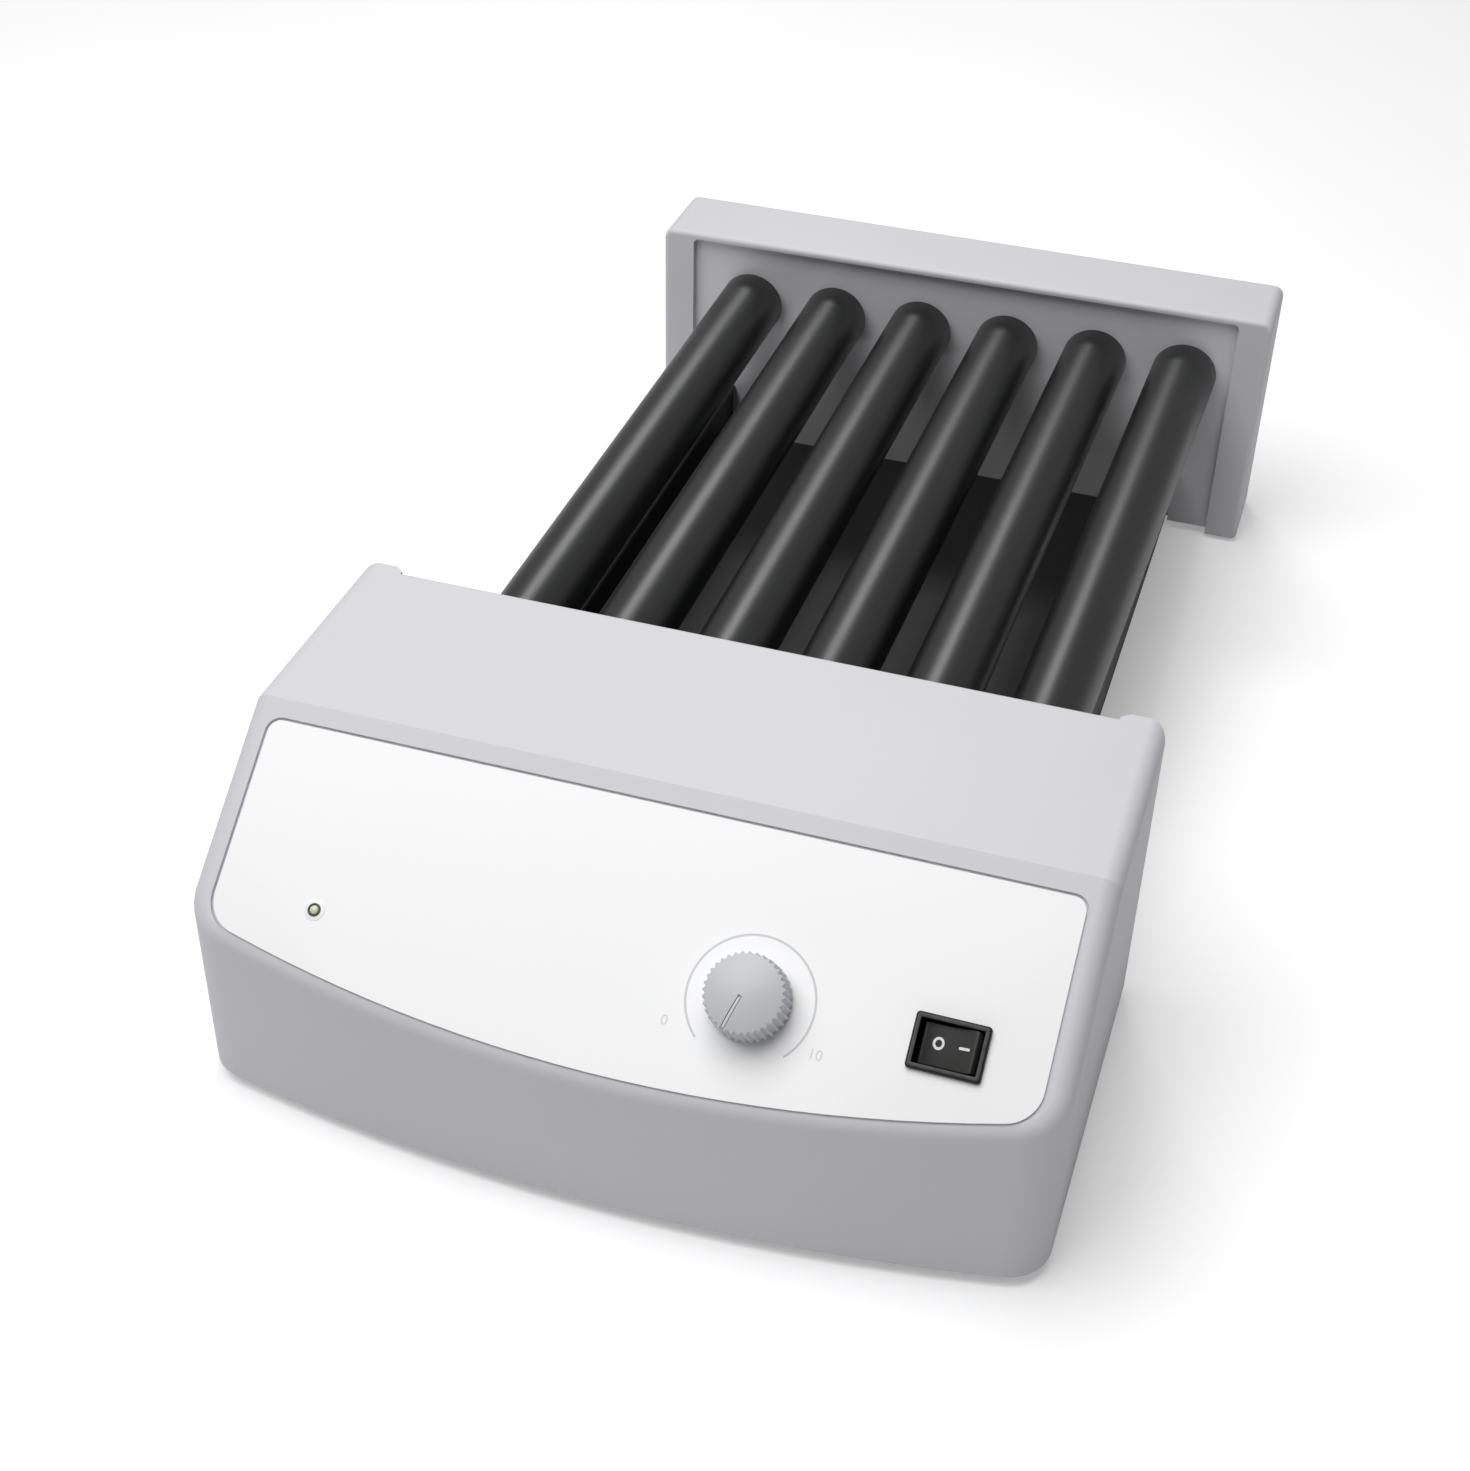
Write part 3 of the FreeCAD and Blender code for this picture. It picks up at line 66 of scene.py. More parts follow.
# Ring scale round the knob: its line's radius, solid half width and soft edge, the angles at
# which its gap ends, in degrees from straight down, and the numbers at its two ends with their
# size, half the ink's thickness and the height of its middle over the face
RING_RADIUS = 18.3 * MM
RING_SOLID = 0.26 * MM
RING_EDGE = 0.4 * MM
RING_GAP_LEFT = 43
RING_GAP_RIGHT = 45
NUMBER_0_SPOT = (17.2 * MM, -65.8 * MM)
NUMBER_10_SPOT = (60.6 * MM, -65.3 * MM)
NUMBER_SIZE = 4.2 * MM
NUMBER_INK = 0.015 * MM
NUMBER_LIFT = 0.005 * MM

# Rollers: bearing axes, and the tube's ends set off to opposite sides of them
ROLLER_COUNT = 6
ROLLER_PITCH = 36.5 * MM
ROLLER_AXIS = (54.3 * MM, 67.6 * MM)
ROLLER_LENGTH = 280.2 * MM
ROLLER_OFFSET = 8.0 * MM
ROLLER_PHASE = math.radians(60)
SLEEVE_RADIUS = 13.0 * MM
SLEEVE_BORE = 11.5 * MM
SLEEVE_EDGE = 0.7 * MM

# Rolled hem on the tray's lips: its radius, its axis inside the lip's outer face and above the
# lip's top, and how far its ends stay away from the tray's ends
HEM_RADIUS = 1.5 * MM
HEM_INSET = 0.6 * MM
HEM_RISE = 0.9 * MM
HEM_END = 6.0 * MM

# Speed knob: outer radius, taper to the top, height, lift off the face, dome, flutes, the
# pointer's groove, which is turned to 0 at rest, and the hollow and the bore from below
KNOB_RADIUS = 12.1 * MM
KNOB_TAPER = 0.4 * MM
KNOB_HEIGHT = 12.0 * MM
KNOB_LIFT = 1.0 * MM
KNOB_DOME = 2.2 * MM
KNOB_FLUTES = 36
FLUTE_DEPTH = 0.75 * MM
POINTER_START = 1.4 * MM
POINTER_HALF = 0.6 * MM
POINTER_DEPTH = 0.7 * MM
POINTER_TURN = math.radians(252)
HOLLOW_RADIUS = 8.0 * MM
HOLLOW_HEIGHT = 4.0 * MM
BORE_RADIUS = 3.05 * MM
BORE_HEIGHT = 9.0 * MM

# Pale filling of the pointer's groove: room at its two ends, half width, half height, and how
# far its middle lies under the dome
FILLING_START = 0.3 * MM
FILLING_END = 0.95 * MM
FILLING_HALF_WIDTH = 0.36 * MM
FILLING_HALF_HEIGHT = 0.3 * MM
FILLING_DEPTH = 0.42 * MM

# Power lamp: lens radius and crown, the radii of the collar's bore, barrel and flange, the
# flange's underside, top and rounding, the radius at which the dark lip meets the white flange,
# and how deep both pieces reach behind the face
LENS_RADIUS = 1.36 * MM
LENS_CROWN = 0.85 * MM
COLLAR_BORE = 1.32 * MM
COLLAR_BARREL = 2.85 * MM
COLLAR_FLANGE = 3.2 * MM
FLANGE_UNDERSIDE = -0.08 * MM
FLANGE_TOP = 0.18 * MM
FLANGE_ROUND = 0.12 * MM
LIP_RADIUS = 2.02 * MM
LAMP_DEPTH = 5.0 * MM

# Rocker of the switch: its pivot above the face, its tilt at OFF, its half width, the radius
# of its ends, its hollow face's half length, lowest height and hollow, its foot's half length,
# the rounding of its sides, and the top and root of its marks over its face
ROCKER_PIVOT = -0.6 * MM
ROCKER_TILT = math.radians(10)
ROCKER_HALF_WIDTH = 5.95 * MM
ROCKER_RADIUS = 8.55 * MM
ROCKER_FACE_HALF = 7.2 * MM
ROCKER_FACE_LOW = 0.2 * MM
ROCKER_HOLLOW = 0.9 * MM
ROCKER_FOOT_HALF = 3.6 * MM
ROCKER_ROUND = 0.45 * MM
MARK_TOP = 0.03 * MM
MARK_ROOT = -0.1 * MM

# Switch housing: how much less its half depths are than its half widths, in millimetres, and
# the height of its inner edge, under which its colour is painted black as the well's shade
BEZEL_NARROWER = 2.6
BEZEL_EDGE = 1.75 * MM

# Camera at the photograph's place, found from the housings' level and upright edges: angles
# in radians, lens and sensor in millimetres
CAMERA_TURN = 0.3003
CAMERA_RISE = 0.6546
CAMERA_ROLL = 0.0232
CAMERA_PLACE = (0.16634, -0.63618, 0.50962)
FOCAL_LENGTH = 55.255
SENSOR_WIDTH = 36.0

# Floor and world: the floor's half width in metres and its glow to the camera, and the world's
# strength as a light and its share in gloss
FLOOR_REACH = 6.0
FLOOR_GLOW = 0.28
WORLD_LIGHT = 0.14
GLOSS_SHARE = 0.25


def linear(*levels):
    """Scene-linear colour of display levels from 0 to 255."""
    shares = np.array(levels, float) / 255
    bright = ((shares + 0.055) / 1.055) ** 2.4
    return (*np.where(shares <= 0.04045, shares / 12.92, bright).tolist(), 1.0)


def darker(colour, share):
    """A colour with each level times a share."""
    return (*(level * share for level in colour[:3]), 1.0)


class Value:
    """A socket in a material's node tree; sums written on it add Math nodes."""

    def __init__(self, tree, socket=None):
        self.tree = tree
        self.socket = socket

    def node(self, kind, settings=None, output=0, **sockets):
        """Add a node: its settings first, then the values or links of its sockets.

        A socket is named with _ for a space, or i0, i1 and so on by its number.
        """
        made = self.tree.nodes.new("ShaderNode" + kind)
        for name, value in (settings or {}).items():
            setattr(made, name, value)
        for name, value in sockets.items():
            key = int(name[1:]) if name[1:].isdigit() else name.replace("_", " ")
            if isinstance(value, Value):
                self.tree.links.new(value.socket, made.inputs[key])
            else:
                made.inputs[key].default_value = value
        return Value(self.tree, made.outputs[output] if made.outputs else None)

    def other(self, output):
        """Another output of this value's node, by its name or number."""
        return Value(self.tree, self.socket.node.outputs[output])

    def math(self, operation, *terms):
        return self.node("Math", {"operation": operation},
                         **{f"i{k}": term for k, term in enumerate(terms)})

    def __add__(self, other):
        return self.math("ADD", self, other)

    __radd__ = __add__

    def __sub__(self, other):
        return self.math("SUBTRACT", self, other)

    def __rsub__(self, other):
        return self.math("SUBTRACT", other, self)

    def __mul__(self, other):
        return self.math("MULTIPLY", self, other)

    __rmul__ = __mul__

    def step(self, low, high):
        """0 below low, 1 above high and an even S between them."""
        return self.node("MapRange", {"interpolation_type": "SMOOTHSTEP"},
                         Value=self, From_Min=low, From_Max=high)

    def mix(self, first, second):
        """The first colour where this is 0, the second where it is 1."""
        return self.node("Mix", {"data_type": "RGBA"}, output=2, i0=self, i6=first, i7=second)

    def noise(self, coordinates, scale, detail=2.0, roughness=0.5):
        return self.node("TexNoise", Vector=coordinates, Scale=scale, Detail=detail,
                         Roughness=roughness)


def new_material(name):
    """An empty node material, its start value and its Object coordinates."""
    material = bpy.data.materials.new(name)
    material.use_nodes = True
    material.node_tree.nodes.clear()
    start = Value(material.node_tree)
    return material, start, start.node("TexCoord", output=3)


def shade(material, start, height=None, depth=0.0, **sockets):
    """Finish a material: a Principled surface whose bump comes from a height between 0 and 1."""
    if height is not None:
        sockets["Normal"] = start.node("Bump", Height=height, Distance=depth, Strength=1.0)
    surface = start.node("BsdfPrincipled", **sockets)
    start.node("OutputMaterial", Surface=surface)
    return material


def stretched(start, coordinates, x, y, z):
    """Coordinates times a factor of their own along X, Y and Z."""
    return start.node("Mapping", Vector=coordinates, Scale=(x, y, z))


def slope_coordinates(start, place):
    """Distances on the control face: to the right, up the slope, and out of the face."""
    face = start.node("Mapping", {"vector_type": "TEXTURE"}, Vector=place, Location=SLOPE_START,
                      Rotation=(SLOPE_TILT, 0.0, 0.0))
    right = start.node("SeparateXYZ", Vector=face)
    return right, right.other(1), right.other(2)


def reach_from(spot, right, up):
    """How far a place on the face is from a spot, with its two parts."""
    across = right - spot[0]
    rise = up - spot[1]
    return across.math("SQRT", across * across + rise * rise), across, rise


def moulded(name, colour, rough, grain=0.0007, depth=0.00002):
    """Moulded plastic: spark-eroded grain, faint flow clouds in the colour and in the gloss."""
    material, start, place = new_material(name)
    cloud = start.noise(place, 9.0, 3.0)
    fine = start.noise(place, 1 / grain, 2.0, 0.6)
    speck = start.noise(place, 0.35 / grain, 1.0)
    tint = cloud.step(0.3, 0.7).mix(darker(colour, 0.97), colour)
    gloss = rough - 0.05 + 0.06 * cloud + 0.05 * speck
    return shade(material, start, fine * 0.8 + speck * 0.2, depth, Base_Color=tint,
                 Roughness=gloss)


def painted_sheet(name, colour):
    """Powder paint on sheet: an orange-peel skin over a level ground."""
    material, start, place = new_material(name)
    peel = start.noise(place, 900.0, 2.0, 0.45)
    cloud = start.noise(place, 6.0, 3.0)
    tint = cloud.step(0.35, 0.7).mix(darker(colour, 0.95), colour)
    return shade(material, start, peel, 0.00003, Base_Color=tint,
                 Roughness=0.41 + 0.08 * peel)


def metal(name, colour, along, rough=0.3):
    """Drawn or turned metal: fine lines along one way, with duller patches."""
    material, start, place = new_material(name)
    lines = start.noise(stretched(start, place, *along), 1.0, 4.0, 0.7)
    patch = start.noise(place, 60.0, 2.0)
    tint = lines.step(0.3, 0.8).mix(darker(colour, 0.8), colour)
    return shade(material, start, lines, 0.000006, Base_Color=tint,
                 Roughness=rough + 0.12 * patch, Metallic=1.0)


def sleeve_rubber(name):
    """Black satin rubber sleeve: faint ground rings round it, dust streaks along it."""
    material, start, place = new_material(name)
    rings = start.noise(stretched(start, place, 60.0, 2600.0, 60.0), 1.0, 2.0, 0.6)
    streak = start.noise(stretched(start, place, 260.0, 9.0, 260.0), 1.0, 3.0, 0.55)
    tooth = start.noise(place, 1500.0, 2.0, 0.6)
    tint = streak.step(0.42, 0.85).mix(linear(19, 20, 20), linear(28, 29, 29))
    return shade(material, start, rings * 0.6 + tooth * 0.4, 0.000008, Base_Color=tint,
                 Roughness=0.31 + 0.08 * streak + 0.04 * tooth, Specular_IOR_Level=0.7)


def foot_rubber(name):
    """Dull black rubber with a coarse tooth and paler wear."""
    material, start, place = new_material(name)
    tooth = start.noise(place, 1100.0, 3.0, 0.6)
    wear = start.noise(place, 140.0, 2.0)
    tint = wear.step(0.4, 0.8).mix(linear(34, 34, 35), linear(58, 58, 59))
    return shade(material, start, tooth, 0.00004, Base_Color=tint, Roughness=0.7 + 0.15 * tooth)


def control_print(name):
    """White face sheet with the knob's ring scale printed on it.

    The ring is where the distance from the knob's axis is close to its radius, except in the
    gap below the knob, which is cut by the angle round that axis from straight down.
    """
    material, start, place = new_material(name)
    right, up, _ = slope_coordinates(start, place)
    reach, across, rise = reach_from(KNOB_SPOT, right, up)
    off = start.math("ABSOLUTE", reach - RING_RADIUS)
    line = 1 - off.step(RING_SOLID, RING_EDGE)
    turn = start.math("ARCTAN2", across, -1 * rise)
    on_right = turn.step(math.radians(RING_GAP_RIGHT - 1), math.radians(RING_GAP_RIGHT))
    on_left = (-1 * turn).step(math.radians(RING_GAP_LEFT - 1), math.radians(RING_GAP_LEFT))
    ink = line * (on_right + on_left)
    speck = start.noise(place, 1400.0, 2.0, 0.6)
    cloud = start.noise(place, 7.0, 2.0)
    ground = cloud.step(0.3, 0.75).mix(linear(251, 251, 252), linear(253, 253, 254))
    return shade(material, start, speck, 0.000005,
                 Base_Color=ink.mix(ground, linear(205, 206, 209)),
                 Roughness=0.34 + 0.08 * speck, Coat_Weight=0.1)


def lamp_lens(name):
    """Glossy pale green lens with a fine grain that spreads the light."""
    material, start, place = new_material(name)
    grain = start.noise(place, 2400.0, 2.0)
    tint = grain.step(0.3, 0.7).mix(linear(212, 223, 176), linear(226, 235, 198))
    return shade(material, start, grain, 0.000008, Base_Color=tint, Roughness=0.16 + 0.1 * grain,
                 Transmission_Weight=0.05, Coat_Weight=0.4)


def switch_frame(name):
    """Grey-black bezel of the switch, painted black as shade where it goes down into the well."""
    material, start, place = new_material(name)
    _, _, out = slope_coordinates(start, place)
    above_painted_shade = out.step(BEZEL_EDGE - 0.03 * MM, BEZEL_EDGE + 0.03 * MM)
    grain = start.noise(place, 2600.0, 2.0, 0.6)
    cloud = start.noise(place, 420.0, 2.0)
    top = cloud.step(0.3, 0.7).mix(linear(60, 60, 61), linear(78, 77, 78))
    # Painted shade: black below the bezel's inner edge, down in the well
    return shade(material, start, grain, 0.00002, Base_Color=above_painted_shade.mix(linear(10, 10, 11), top),
                 Roughness=0.42 + 0.15 * grain, Specular_IOR_Level=0.3)


def rocker_painted_light(name):
    """Black rocker with painted light: black at its pressed end, paler and duller towards its
    other end.
    """
    material, start, place = new_material(name)
    across = start.node("SeparateXYZ", Vector=place) - SWITCH_SPOT[0]
    # Share of painted light across the rocker, which also makes it duller
    painted_light_share = across.step(-5.0 * MM, 9.0 * MM)
    grain = start.noise(place, 1900.0, 2.0, 0.6)
    return shade(material, start, grain, 0.00001,
                 # Painted light: the base colour rises from black to grey across the rocker
                 Base_Color=painted_light_share.mix(linear(8, 8, 9), linear(56, 56, 54)),
                 Roughness=0.3 + 0.1 * painted_light_share + 0.08 * grain, Specular_IOR_Level=0.22)


def lamp_collar(name):
    """Snap-in collar of the lamp: dark lip round the lens, and white flange outside it."""
    material, start, place = new_material(name)
    right, up, _ = slope_coordinates(start, place)
    reach, _, _ = reach_from(LAMP_SPOT, right, up)
    grain = start.noise(place, 2200.0, 2.0)
    flange = reach.step(LIP_RADIUS - 0.04 * MM, LIP_RADIUS + 0.04 * MM)
    return shade(material, start, grain, 0.000006,
                 Base_Color=flange.mix(linear(70, 74, 66), linear(250, 250, 251)),
                 Roughness=0.34 + 0.08 * grain)


def flat_ink(name, colour):
    """A printed or filled mark: even ink with a fine tooth."""
    material, start, place = new_material(name)
    tooth = start.noise(place, 3000.0, 2.0)
    tint = tooth.step(0.3, 0.7).mix(darker(colour, 0.93), colour)
    return shade(material, start, tooth, 0.000004, Base_Color=tint, Roughness=0.4 + 0.1 * tooth)


def circuit_board(name):
    """Green board: copper runs seen through the lacquer as paler lines."""
    material, start, place = new_material(name)
    runs = start.node("TexBrick", Vector=stretched(start, place, 220.0, 220.0, 220.0),
                      Color1=(0.0, 0.0, 0.0, 1.0), Color2=(0.2, 0.2, 0.2, 1.0),
                      Mortar=(1.0, 1.0, 1.0, 1.0), Scale=1.0, Mortar_Size=0.08)
    speck = start.noise(place, 800.0)
    tint = runs.mix(linear(24, 84, 48), linear(52, 120, 76))
    return shade(material, start, speck, 0.00001, Base_Color=tint, Roughness=0.3 + 0.1 * speck)


# How metal's noise is stretched along X, Y and Z: rings round the Y axis, or lines along it
TURNED = (120.0, 2400.0, 120.0)
ROLLED = (900.0, 25.0, 900.0)

# Finish of each slot
FINISHES = {
    "housing": moulded("housing_grey", linear(214, 214, 218), 0.5),
    "plate": painted_sheet("bearing_plate_grey", linear(226, 226, 229)),
    "tray": painted_sheet("tray_black", linear(40, 40, 42)),
    "overlay": control_print("control_face_white"),
    "sleeve": sleeve_rubber("roller_sleeve_black"),
    "tube": metal("roller_tube_aluminium", linear(205, 206, 209), ROLLED),
    "roller_end": moulded("roller_end_black", linear(38, 38, 40), 0.4),
    "gear": moulded("gear_acetal", linear(232, 229, 220), 0.35, 0.0012),
    "steel": metal("plated_steel", linear(196, 197, 199), TURNED, 0.28),
    "motor": metal("motor_can_steel", linear(170, 171, 174), TURNED, 0.34),
    "bush": moulded("bush_nylon", linear(206, 205, 200), 0.4),
    "knob": moulded("knob_grey", linear(200, 202, 206), 0.4, 0.0006),
    "switch": moulded("switch_black", linear(24, 24, 26), 0.26, 0.0009, 0.00001),
    "lamp": lamp_lens("lamp_lens_green"),
    "lamp_holder": moulded("lamp_holder_black", linear(46, 47, 48), 0.3),
    "board": circuit_board("circuit_board_green"),
    "foot": foot_rubber("foot_rubber_black"),
}

# Finishes of single nodes and of the marks, where their slot's own finish isn't right
OWN_FINISHES = {
    "switch_housing": switch_frame("switch_bezel_painted_shade"),
    "switch_rocker": rocker_painted_light("rocker_painted_light"),
    "lamp_collar": lamp_collar("lamp_collar_white_and_dark"),
    "pointer_mark": flat_ink("pointer_mark_pale", linear(226, 227, 229)),
    "rocker_mark": flat_ink("rocker_mark_white", linear(232, 232, 230)),
    "scale_mark": flat_ink("scale_mark_grey", linear(222, 223, 225)),
}


def dress(piece, slot, finish):
    """Give a piece its own finish, or else its slot's."""
    piece.data.materials.clear()
    piece.data.materials.append(OWN_FINISHES.get(finish) or FINISHES[slot])


for row in frame["record"]["subparts"]:
    dress(frame["nodes"][row["node"]], row["material_slot"], row["node"])


def finish_piece(name, mesh, slot, body, sharp, finish):
    """Shade a mesh smooth up to an angle in degrees, dress it and let it ride on its body."""
    mesh.update()
    mesh.shade_smooth()
    mesh.set_sharp_from_angle(angle=math.radians(sharp))
    piece = bpy.data.objects.new(name, mesh)
    bpy.context.scene.collection.objects.link(piece)
    dress(piece, slot, finish)
    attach(piece, body)
    return piece


def skin(name, grid, slot, body, sharp=40.0, finish=None):
    """Mesh piece of a grid of points whose rows are closed rings, joined row to row.

    A first or last row whose points all meet becomes a pole, one point with three-sided faces
    round it; if the last row repeats the first, the rows close into a hollow ring.
    """
    hollow = np.allclose(grid[0], grid[-1])
    if hollow:
        grid = grid[:-1]
    rows, columns, _ = grid.shape
    number = np.arange(rows * columns).reshape(rows, columns)
    poles = [not hollow and np.ptp(grid[end], axis=0).max() < 1e-9 for end in (0, -1)]
    for end, pole in zip((0, -1), poles):
        if pole:
            number[end] = number[end, 0]
    used, number = np.unique(number, return_inverse=True)
    number = number.reshape(rows, columns)
    points = grid.reshape(-1, 3)[used]
    low = number if hollow else number[:-1]
    high = np.roll(number, -1, axis=0) if hollow else number[1:]
    quads = np.stack([low, np.roll(low, -1, axis=1), np.roll(high, -1, axis=1), high], axis=-1)
    faces = quads.reshape(-1, 4).tolist()
    if poles[0]:
        faces[:columns] = quads[0, :, 1:].tolist()
    if poles[1]:
        faces[-columns:] = quads[-1, :, :3].tolist()
    mesh = bpy.data.meshes.new(name)
    mesh.from_pydata(points.tolist(), [], faces)
    return finish_piece(name, mesh, slot, body, sharp, finish)


def moved(points, matrix):
    """Points carried by a matrix, as an array of the same shape."""
    turn = np.array(matrix.to_3x3())
    return points @ turn.T + np.array(matrix.translation)


def turned(profile, columns=96):
    """Grid of a profile of (radius, height) pairs turned round Z: (r cos a, r sin a, h)."""
    profile = np.array(profile, float)
    angle = np.linspace(0, 2 * math.pi, columns, endpoint=False)
    radius, height = profile[:, :1], profile[:, 1:]
    return np.stack([radius * np.cos(angle), radius * np.sin(angle), height + 0 * angle], axis=-1)


def rounded(centre, radius, start, stop, steps=5):
    """Points of an arc round a centre, from a start to a stop angle in degrees."""
    angle = np.radians(np.linspace(start, stop, steps))
    return list(zip(centre[0] + radius * np.cos(angle), centre[1] + radius * np.sin(angle)))


def on_slope(x, y, rise, turn=0.0):
    """Matrix of a spot on the control face: x to the right and y up the slope from its start."""
    return (Matrix.Translation(SLOPE_START) @ Matrix.Rotation(SLOPE_TILT, 4, "X")
            @ Matrix.Translation((x, y, rise)) @ Matrix.Rotation(turn, 4, "Z"))


def roller_line(i):
    """Matrix that lays Z along roller i: its ends sit off the bearing axis to opposite sides."""
    x = (i - (ROLLER_COUNT - 1) / 2) * ROLLER_PITCH
    off = Vector((math.cos(ROLLER_PHASE), 0, math.sin(ROLLER_PHASE))) * ROLLER_OFFSET
    way = (Vector((0, ROLLER_LENGTH / 2, 0)) + off).normalized()
    middle = Matrix.Translation((x, *ROLLER_AXIS))
    return middle @ way.to_track_quat("Z", "X").to_matrix().to_4x4()


def sleeve_profile():
    """Closed outline of an open tube with softly rounded ends: bore, end, outside, end, bore."""
    end = ROLLER_LENGTH / 2
    bend = end - SLEEVE_EDGE
    outside = [(SLEEVE_RADIUS, z) for z in np.linspace(-bend, bend, 25)]
    return ([(SLEEVE_BORE, -end)]
            + rounded((SLEEVE_RADIUS - SLEEVE_EDGE, -bend), SLEEVE_EDGE, -90, -8)
            + outside
            + rounded((SLEEVE_RADIUS - SLEEVE_EDGE, bend), SLEEVE_EDGE, 8, 90)
            + [(SLEEVE_BORE, end), (SLEEVE_BORE, -end)])


for i in range(ROLLER_COUNT):
    sleeve = skin(f"rubber_sleeve_{i + 1}", moved(turned(sleeve_profile()), roller_line(i)),
                  "sleeve", f"roller_{i + 1}", 50.0)
    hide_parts(f"roller_sleeve_{i + 1}")


def tray_rim(side):
    """Rolled hem on a tray lip: a bar of round section along Y whose ends close to a pole.

    A point is (share * radius * cos a, y, share * radius * sin a) from the hem's axis, where
    the share is 1 along the bar and falls to 0 at its ends.
    """
    low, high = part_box("link_tray")
    outer = high[0] if side > 0 else low[0]
    length = high[1] - low[1] - 2 * HEM_END
    close = [0.0, 0.4, 0.8, 1.0]
    share = np.array(close + [1.0] * 24 + close[::-1])[:, None]
    start = np.array([0.0, 0.03, 0.2, 0.5]) * HEM_RADIUS
    straight = np.linspace(0.6 * HEM_RADIUS, length - 0.6 * HEM_RADIUS, 24)
    along = np.concatenate([start, straight, length - start[::-1]])[:, None]
    angle = np.linspace(0, 2 * math.pi, 20, endpoint=False)
    grid = np.stack([outer - side * HEM_INSET + share * HEM_RADIUS * np.cos(angle),
                     low[1] + HEM_END + along + 0 * angle,
                     high[2] + HEM_RISE + share * HEM_RADIUS * np.sin(angle)], axis=-1)
    return skin("tray_rim_" + ("right" if side > 0 else "left"), grid[::-1], "tray", "root")


tray_rim(1)
tray_rim(-1)


def knob_grid():
    """Knob surface over an angle and a row, in rings from the top's middle to the hollow below.

    The angle is drawn together near the pointer, so that two columns lie on each wall of its
    groove: the groove's half angle at a radius is asin(half width / radius). The outer radius
    is the plain one less the flutes, depth * (0.5 + 0.5 cos(flutes * a)) ** 0.8, and less the
    groove. The top is a shallow dome, height - dome * (radius / outer radius) ** 2.
    """
    top_radius = KNOB_RADIUS - KNOB_TAPER
    rim_half = math.asin(POINTER_HALF / top_radius)
    wall = math.radians(0.3)
    groove_columns = 9
    base = np.concatenate([
        np.linspace(wall - rim_half, rim_half - wall, groove_columns),
        np.linspace(rim_half + wall, 2 * math.pi - rim_half - wall, 20 * KNOB_FLUTES)])
    in_groove = np.arange(len(base)) < groove_columns
    signed = np.where(base > math.pi, base - 2 * math.pi, base)

    def angles(radius):
        half = math.asin(min(1.0, POINTER_HALF / max(radius, POINTER_START)))
        inner = signed * half / rim_half
        outer = np.sign(signed) * (half + (abs(signed) - rim_half) * (math.pi - half)
                                   / (math.pi - rim_half))
        return np.where(abs(signed) <= rim_half, inner, outer)

    flute = FLUTE_DEPTH * (0.5 + 0.5 * np.cos(KNOB_FLUTES * base)) ** 0.8
    low = np.where(in_groove, POINTER_DEPTH, 0)
    edge = top_radius - np.where(in_groove, POINTER_DEPTH, flute)
    rings = []
    for share in np.concatenate([[0.0, 0.05, 0.1], np.linspace(0.12, 0.97, 34)]):
        radius = share * edge
        height = KNOB_HEIGHT - KNOB_DOME * (radius / top_radius) ** 2
        sunk = low if share * top_radius > POINTER_START else 0
        rings.append((radius, angles(share * top_radius), height - sunk))
    # The dome's edge is rounded over the last 0.3 mm, and the fluted side widens to the foot
    rim = KNOB_HEIGHT - KNOB_DOME - low
    for drop, back in ((0.05, 0.12), (0.15, 0.03), (0.3, 0.0)):
        rings.append((edge - back * MM, signed, rim - drop * MM))
    for share in (0.35, 0.65, 1.0):
        rings.append((edge + share * KNOB_TAPER, signed, (rim - 0.3 * MM) * (1 - share)))
    underside = [(HOLLOW_RADIUS, 0.0), (HOLLOW_RADIUS, HOLLOW_HEIGHT),
                 (BORE_RADIUS, HOLLOW_HEIGHT), (BORE_RADIUS, BORE_HEIGHT), (0.0, BORE_HEIGHT)]
    for radius, height in underside:
        rings.append((0 * base + radius, signed, 0 * base + height))
    return np.array([np.stack([r * np.cos(a), r * np.sin(a), z], axis=-1)
                     for r, a, z in rings])[::-1]


knob_place = on_slope(*KNOB_SPOT, OVERLAY_RISE + KNOB_LIFT, POINTER_TURN)
knob = skin("fluted_speed_knob", moved(knob_grid(), knob_place), "knob", "knob", 38.0)
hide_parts("speed_knob")


def pointer_grid():
    """Filling of the pointer's groove: a bar under the dome, |y / a| ** 4 + |z / b| ** 4 = 1."""
    top_radius = KNOB_RADIUS - KNOB_TAPER
    along = np.linspace(POINTER_START + FILLING_START, top_radius - FILLING_END, 24)
    along[1] = along[0] + 0.04 * MM
    along[-2] = along[-1] - 0.04 * MM
    along = along[:, None]
    share = np.array([0.0, 0.9] + [1.0] * 20 + [0.9, 0.0])[:, None]
    angle = np.linspace(0, 2 * math.pi, 16, endpoint=False)
    c, s = np.cos(angle), np.sin(angle)
    unit = (c ** 4 + s ** 4) ** -0.25
    middle = KNOB_HEIGHT - KNOB_DOME * (along / top_radius) ** 2 - FILLING_DEPTH
    return np.stack([along + 0 * angle, share * FILLING_HALF_WIDTH * unit * c,
                     middle + share * FILLING_HALF_HEIGHT * unit * s], axis=-1)


skin("knob_pointer_line", moved(pointer_grid(), knob_place), "knob", "knob", 40.0,
     "pointer_mark")


